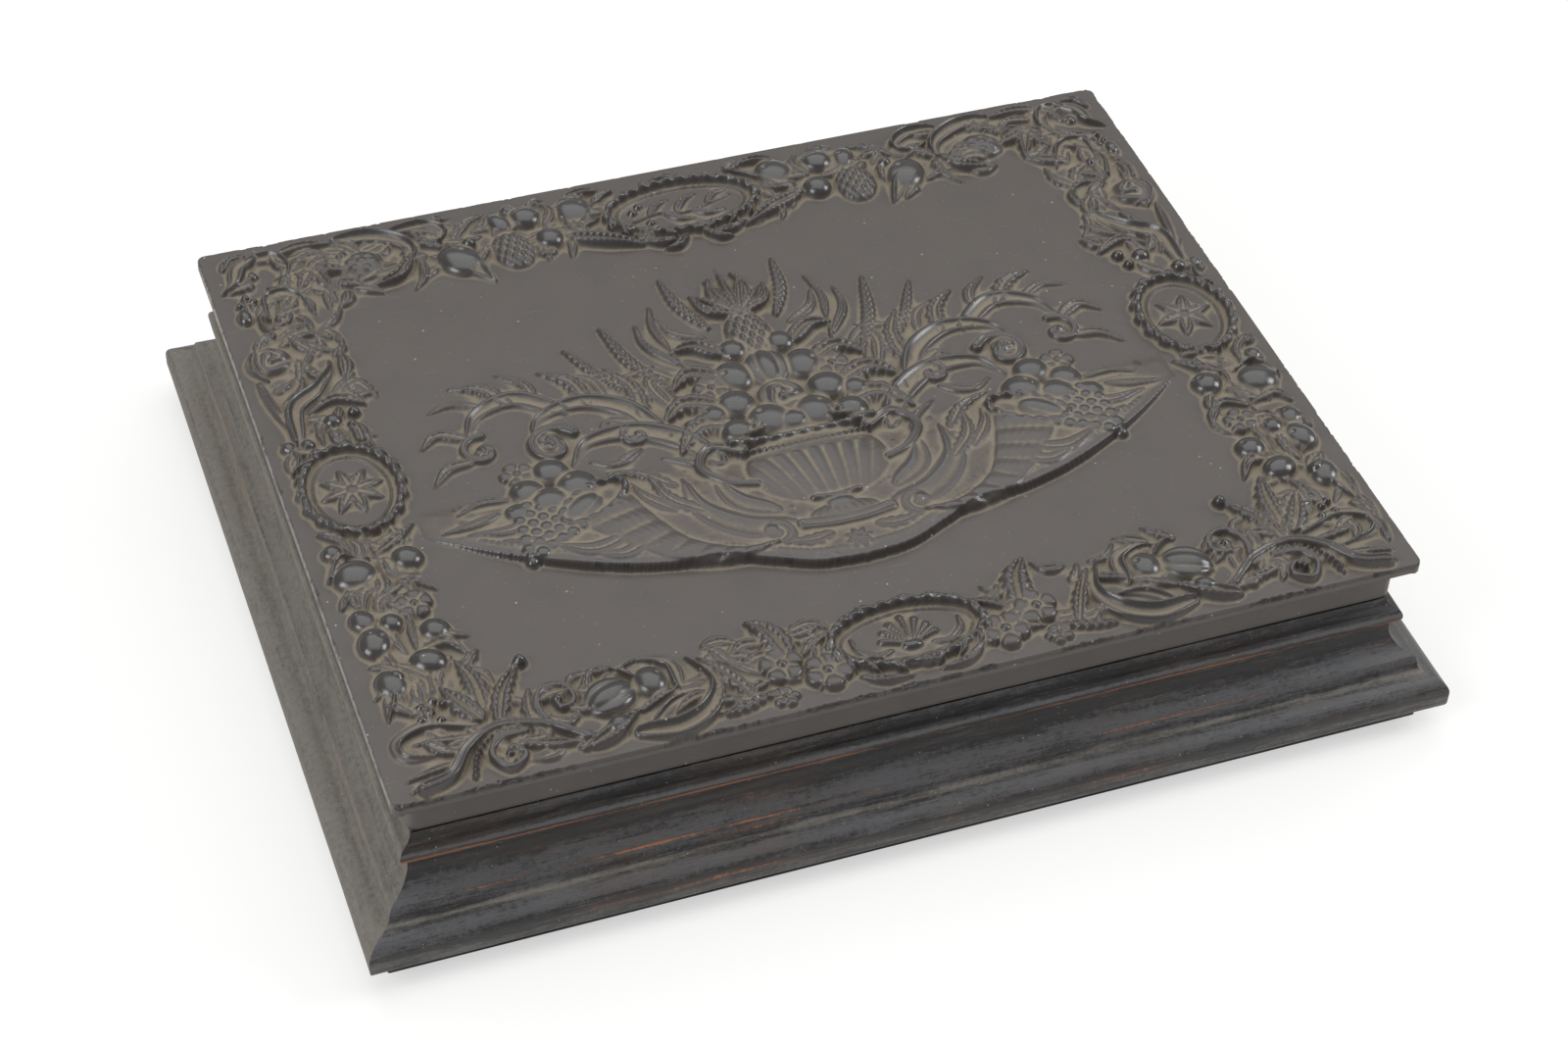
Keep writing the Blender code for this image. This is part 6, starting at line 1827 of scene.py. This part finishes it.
def band_mesh(name):
    """The band as a closed wall: a section carried round rounded outlines, out and in, and
    drawn in a little by slow waves as a warped pressing is."""
    outside, inside = -band_setback, -band_setback - band_wall
    foot = arc((outside - band_foot, cover_low.z + band_foot), (band_foot, band_foot), 0, -90, 6)
    rows = [(outside, ceiling, band_corner), *[(o, z, band_corner) for o, z in foot],
            (inside, cover_low.z, band_corner / 2), (inside, ceiling, band_corner / 2)]
    heights = np.linspace(ceiling, foot[0][1], 12)[1:-1]
    rows[1:1] = [(outside, z, band_corner) for z in heights]
    rings = []
    for offset, z, radius in rows:
        outline = rounded_outline(half_length + offset, half_width + offset, radius, 8, 90)
        wave = ripple(outline.sum(1), z, band_wave_size, 3)
        pull = 1 - band_wave_depth * (1 + wave) / np.linalg.norm(outline, axis=1)
        rings.append(at_height(outline * pull[:, None], z))
    rings = np.array(rings)
    faces = grid_faces(*rings.shape[:2], wrap_rows=True, wrap_columns=True)
    mesh = mesh_of(name, rings.reshape(-1, 3), faces[:, ::-1])
    number_points(mesh, **dict.fromkeys(cover_marks, np.zeros(len(mesh.vertices))))
    return mesh


piece(band_mesh("cover_band"), moulded, "lid", ["cover"], 50)

# Floor. A sheet of matt white paper that runs past the camera's view on all sides. It looks
# whiter than it is lit, to the camera and in reflections, and it keeps the case's shadow.
paper_half = 6.0
paper_white = (0.86, 0.855, 0.84)
paper_glow = 0.545
paper_reflected = 0.2
paper_corners = np.array([(-1, -1, 0), (1, -1, 0), (1, 1, 0), (-1, 1, 0)]) * paper_half
paper_mesh = mesh_of("paper", paper_corners, np.array([[0, 1, 2, 3]]))
paper = bpy.data.objects.new("paper", paper_mesh)
bpy.context.scene.collection.objects.link(paper)
sheet_finish = Finish("white_paper", base_color=paper_white, roughness=0.9)
seen = sheet_finish.node("LightPath", {}, {}, "Is Camera Ray")
glossy = sheet_finish.node("LightPath", {}, {}, "Is Glossy Ray")
glow = sheet_finish.node("Emission", {}, {"Color": (1.0, 1.0, 1.0), "Strength": 1.0})
share = seen * paper_glow + glossy * paper_reflected
mixed = sheet_finish.node("MixShader", {}, {0: share, 2: glow})
sheet_finish.tree.links.new(sheet_finish.shader.outputs[0], mixed.socket.node.inputs[1])
sheet_finish.tree.links.new(mixed.socket, sheet_finish.tree.nodes["Material Output"].inputs[0])
paper_mesh.materials.append(sheet_finish.material)

# Light. A soft box at each side of the case, a wide panel above its back, and a dim even
# surround. Each lamp has its place, its size and its power in watts, and faces the case.
surround_strength = 0.36
surround = bpy.data.worlds.new("surround")
surround.use_nodes = True
bpy.context.scene.world = surround
background = surround.node_tree.nodes["Background"]
background.inputs["Color"].default_value = (1.0, 1.0, 1.0, 1.0)
background.inputs["Strength"].default_value = surround_strength
lamps = {
    "left_box": ((-0.95, -0.35, 0.75), 0.60, 7.5),
    "right_box": ((1.00, -0.15, 0.70), 0.45, 5.5),
    "overhead_panel": ((0.15, 0.44, 1.36), 1.90, 18.3),
}
for name, (place, size, power) in lamps.items():
    lamp = bpy.data.objects.new(name, bpy.data.lights.new(name, "AREA"))
    lamp.data.shape = "SQUARE"
    lamp.data.size = size
    lamp.data.energy = power
    lamp.location = place
    lamp.rotation_euler = (-Vector(place)).to_track_quat("-Z", "Y").to_euler()
    bpy.context.scene.collection.objects.link(lamp)

# Camera. Its place, direction and lens were fitted to the cover's four corners and the base's
# nose as the photograph shows them, for an image of 1600 by 1067.
camera_place = Vector((-0.20799, -0.52730, 0.55179))
camera_heading = np.radians(21.652)
camera_fall = np.radians(43.79)
camera_right = Vector((0.94093, -0.33672, 0.03569))
lens_length = 74.486
film_width = 36.0
nearest_seen = 0.01
camera = bpy.data.objects.new("camera", bpy.data.cameras.new("camera"))
camera.data.sensor_width = film_width
camera.data.lens = lens_length
camera.data.clip_start = nearest_seen
ahead = Vector((np.sin(camera_heading) * np.cos(camera_fall),
                np.cos(camera_heading) * np.cos(camera_fall), -np.sin(camera_fall)))
right = (camera_right - ahead * camera_right.dot(ahead)).normalized()
upwards = right.cross(ahead)
camera.matrix_world = Matrix.Translation(camera_place) @ Matrix(
    (right, upwards, -ahead)).transposed().to_4x4()
bpy.context.scene.collection.objects.link(camera)
bpy.context.scene.camera = camera
bpy.context.scene.view_settings.view_transform = "Standard"
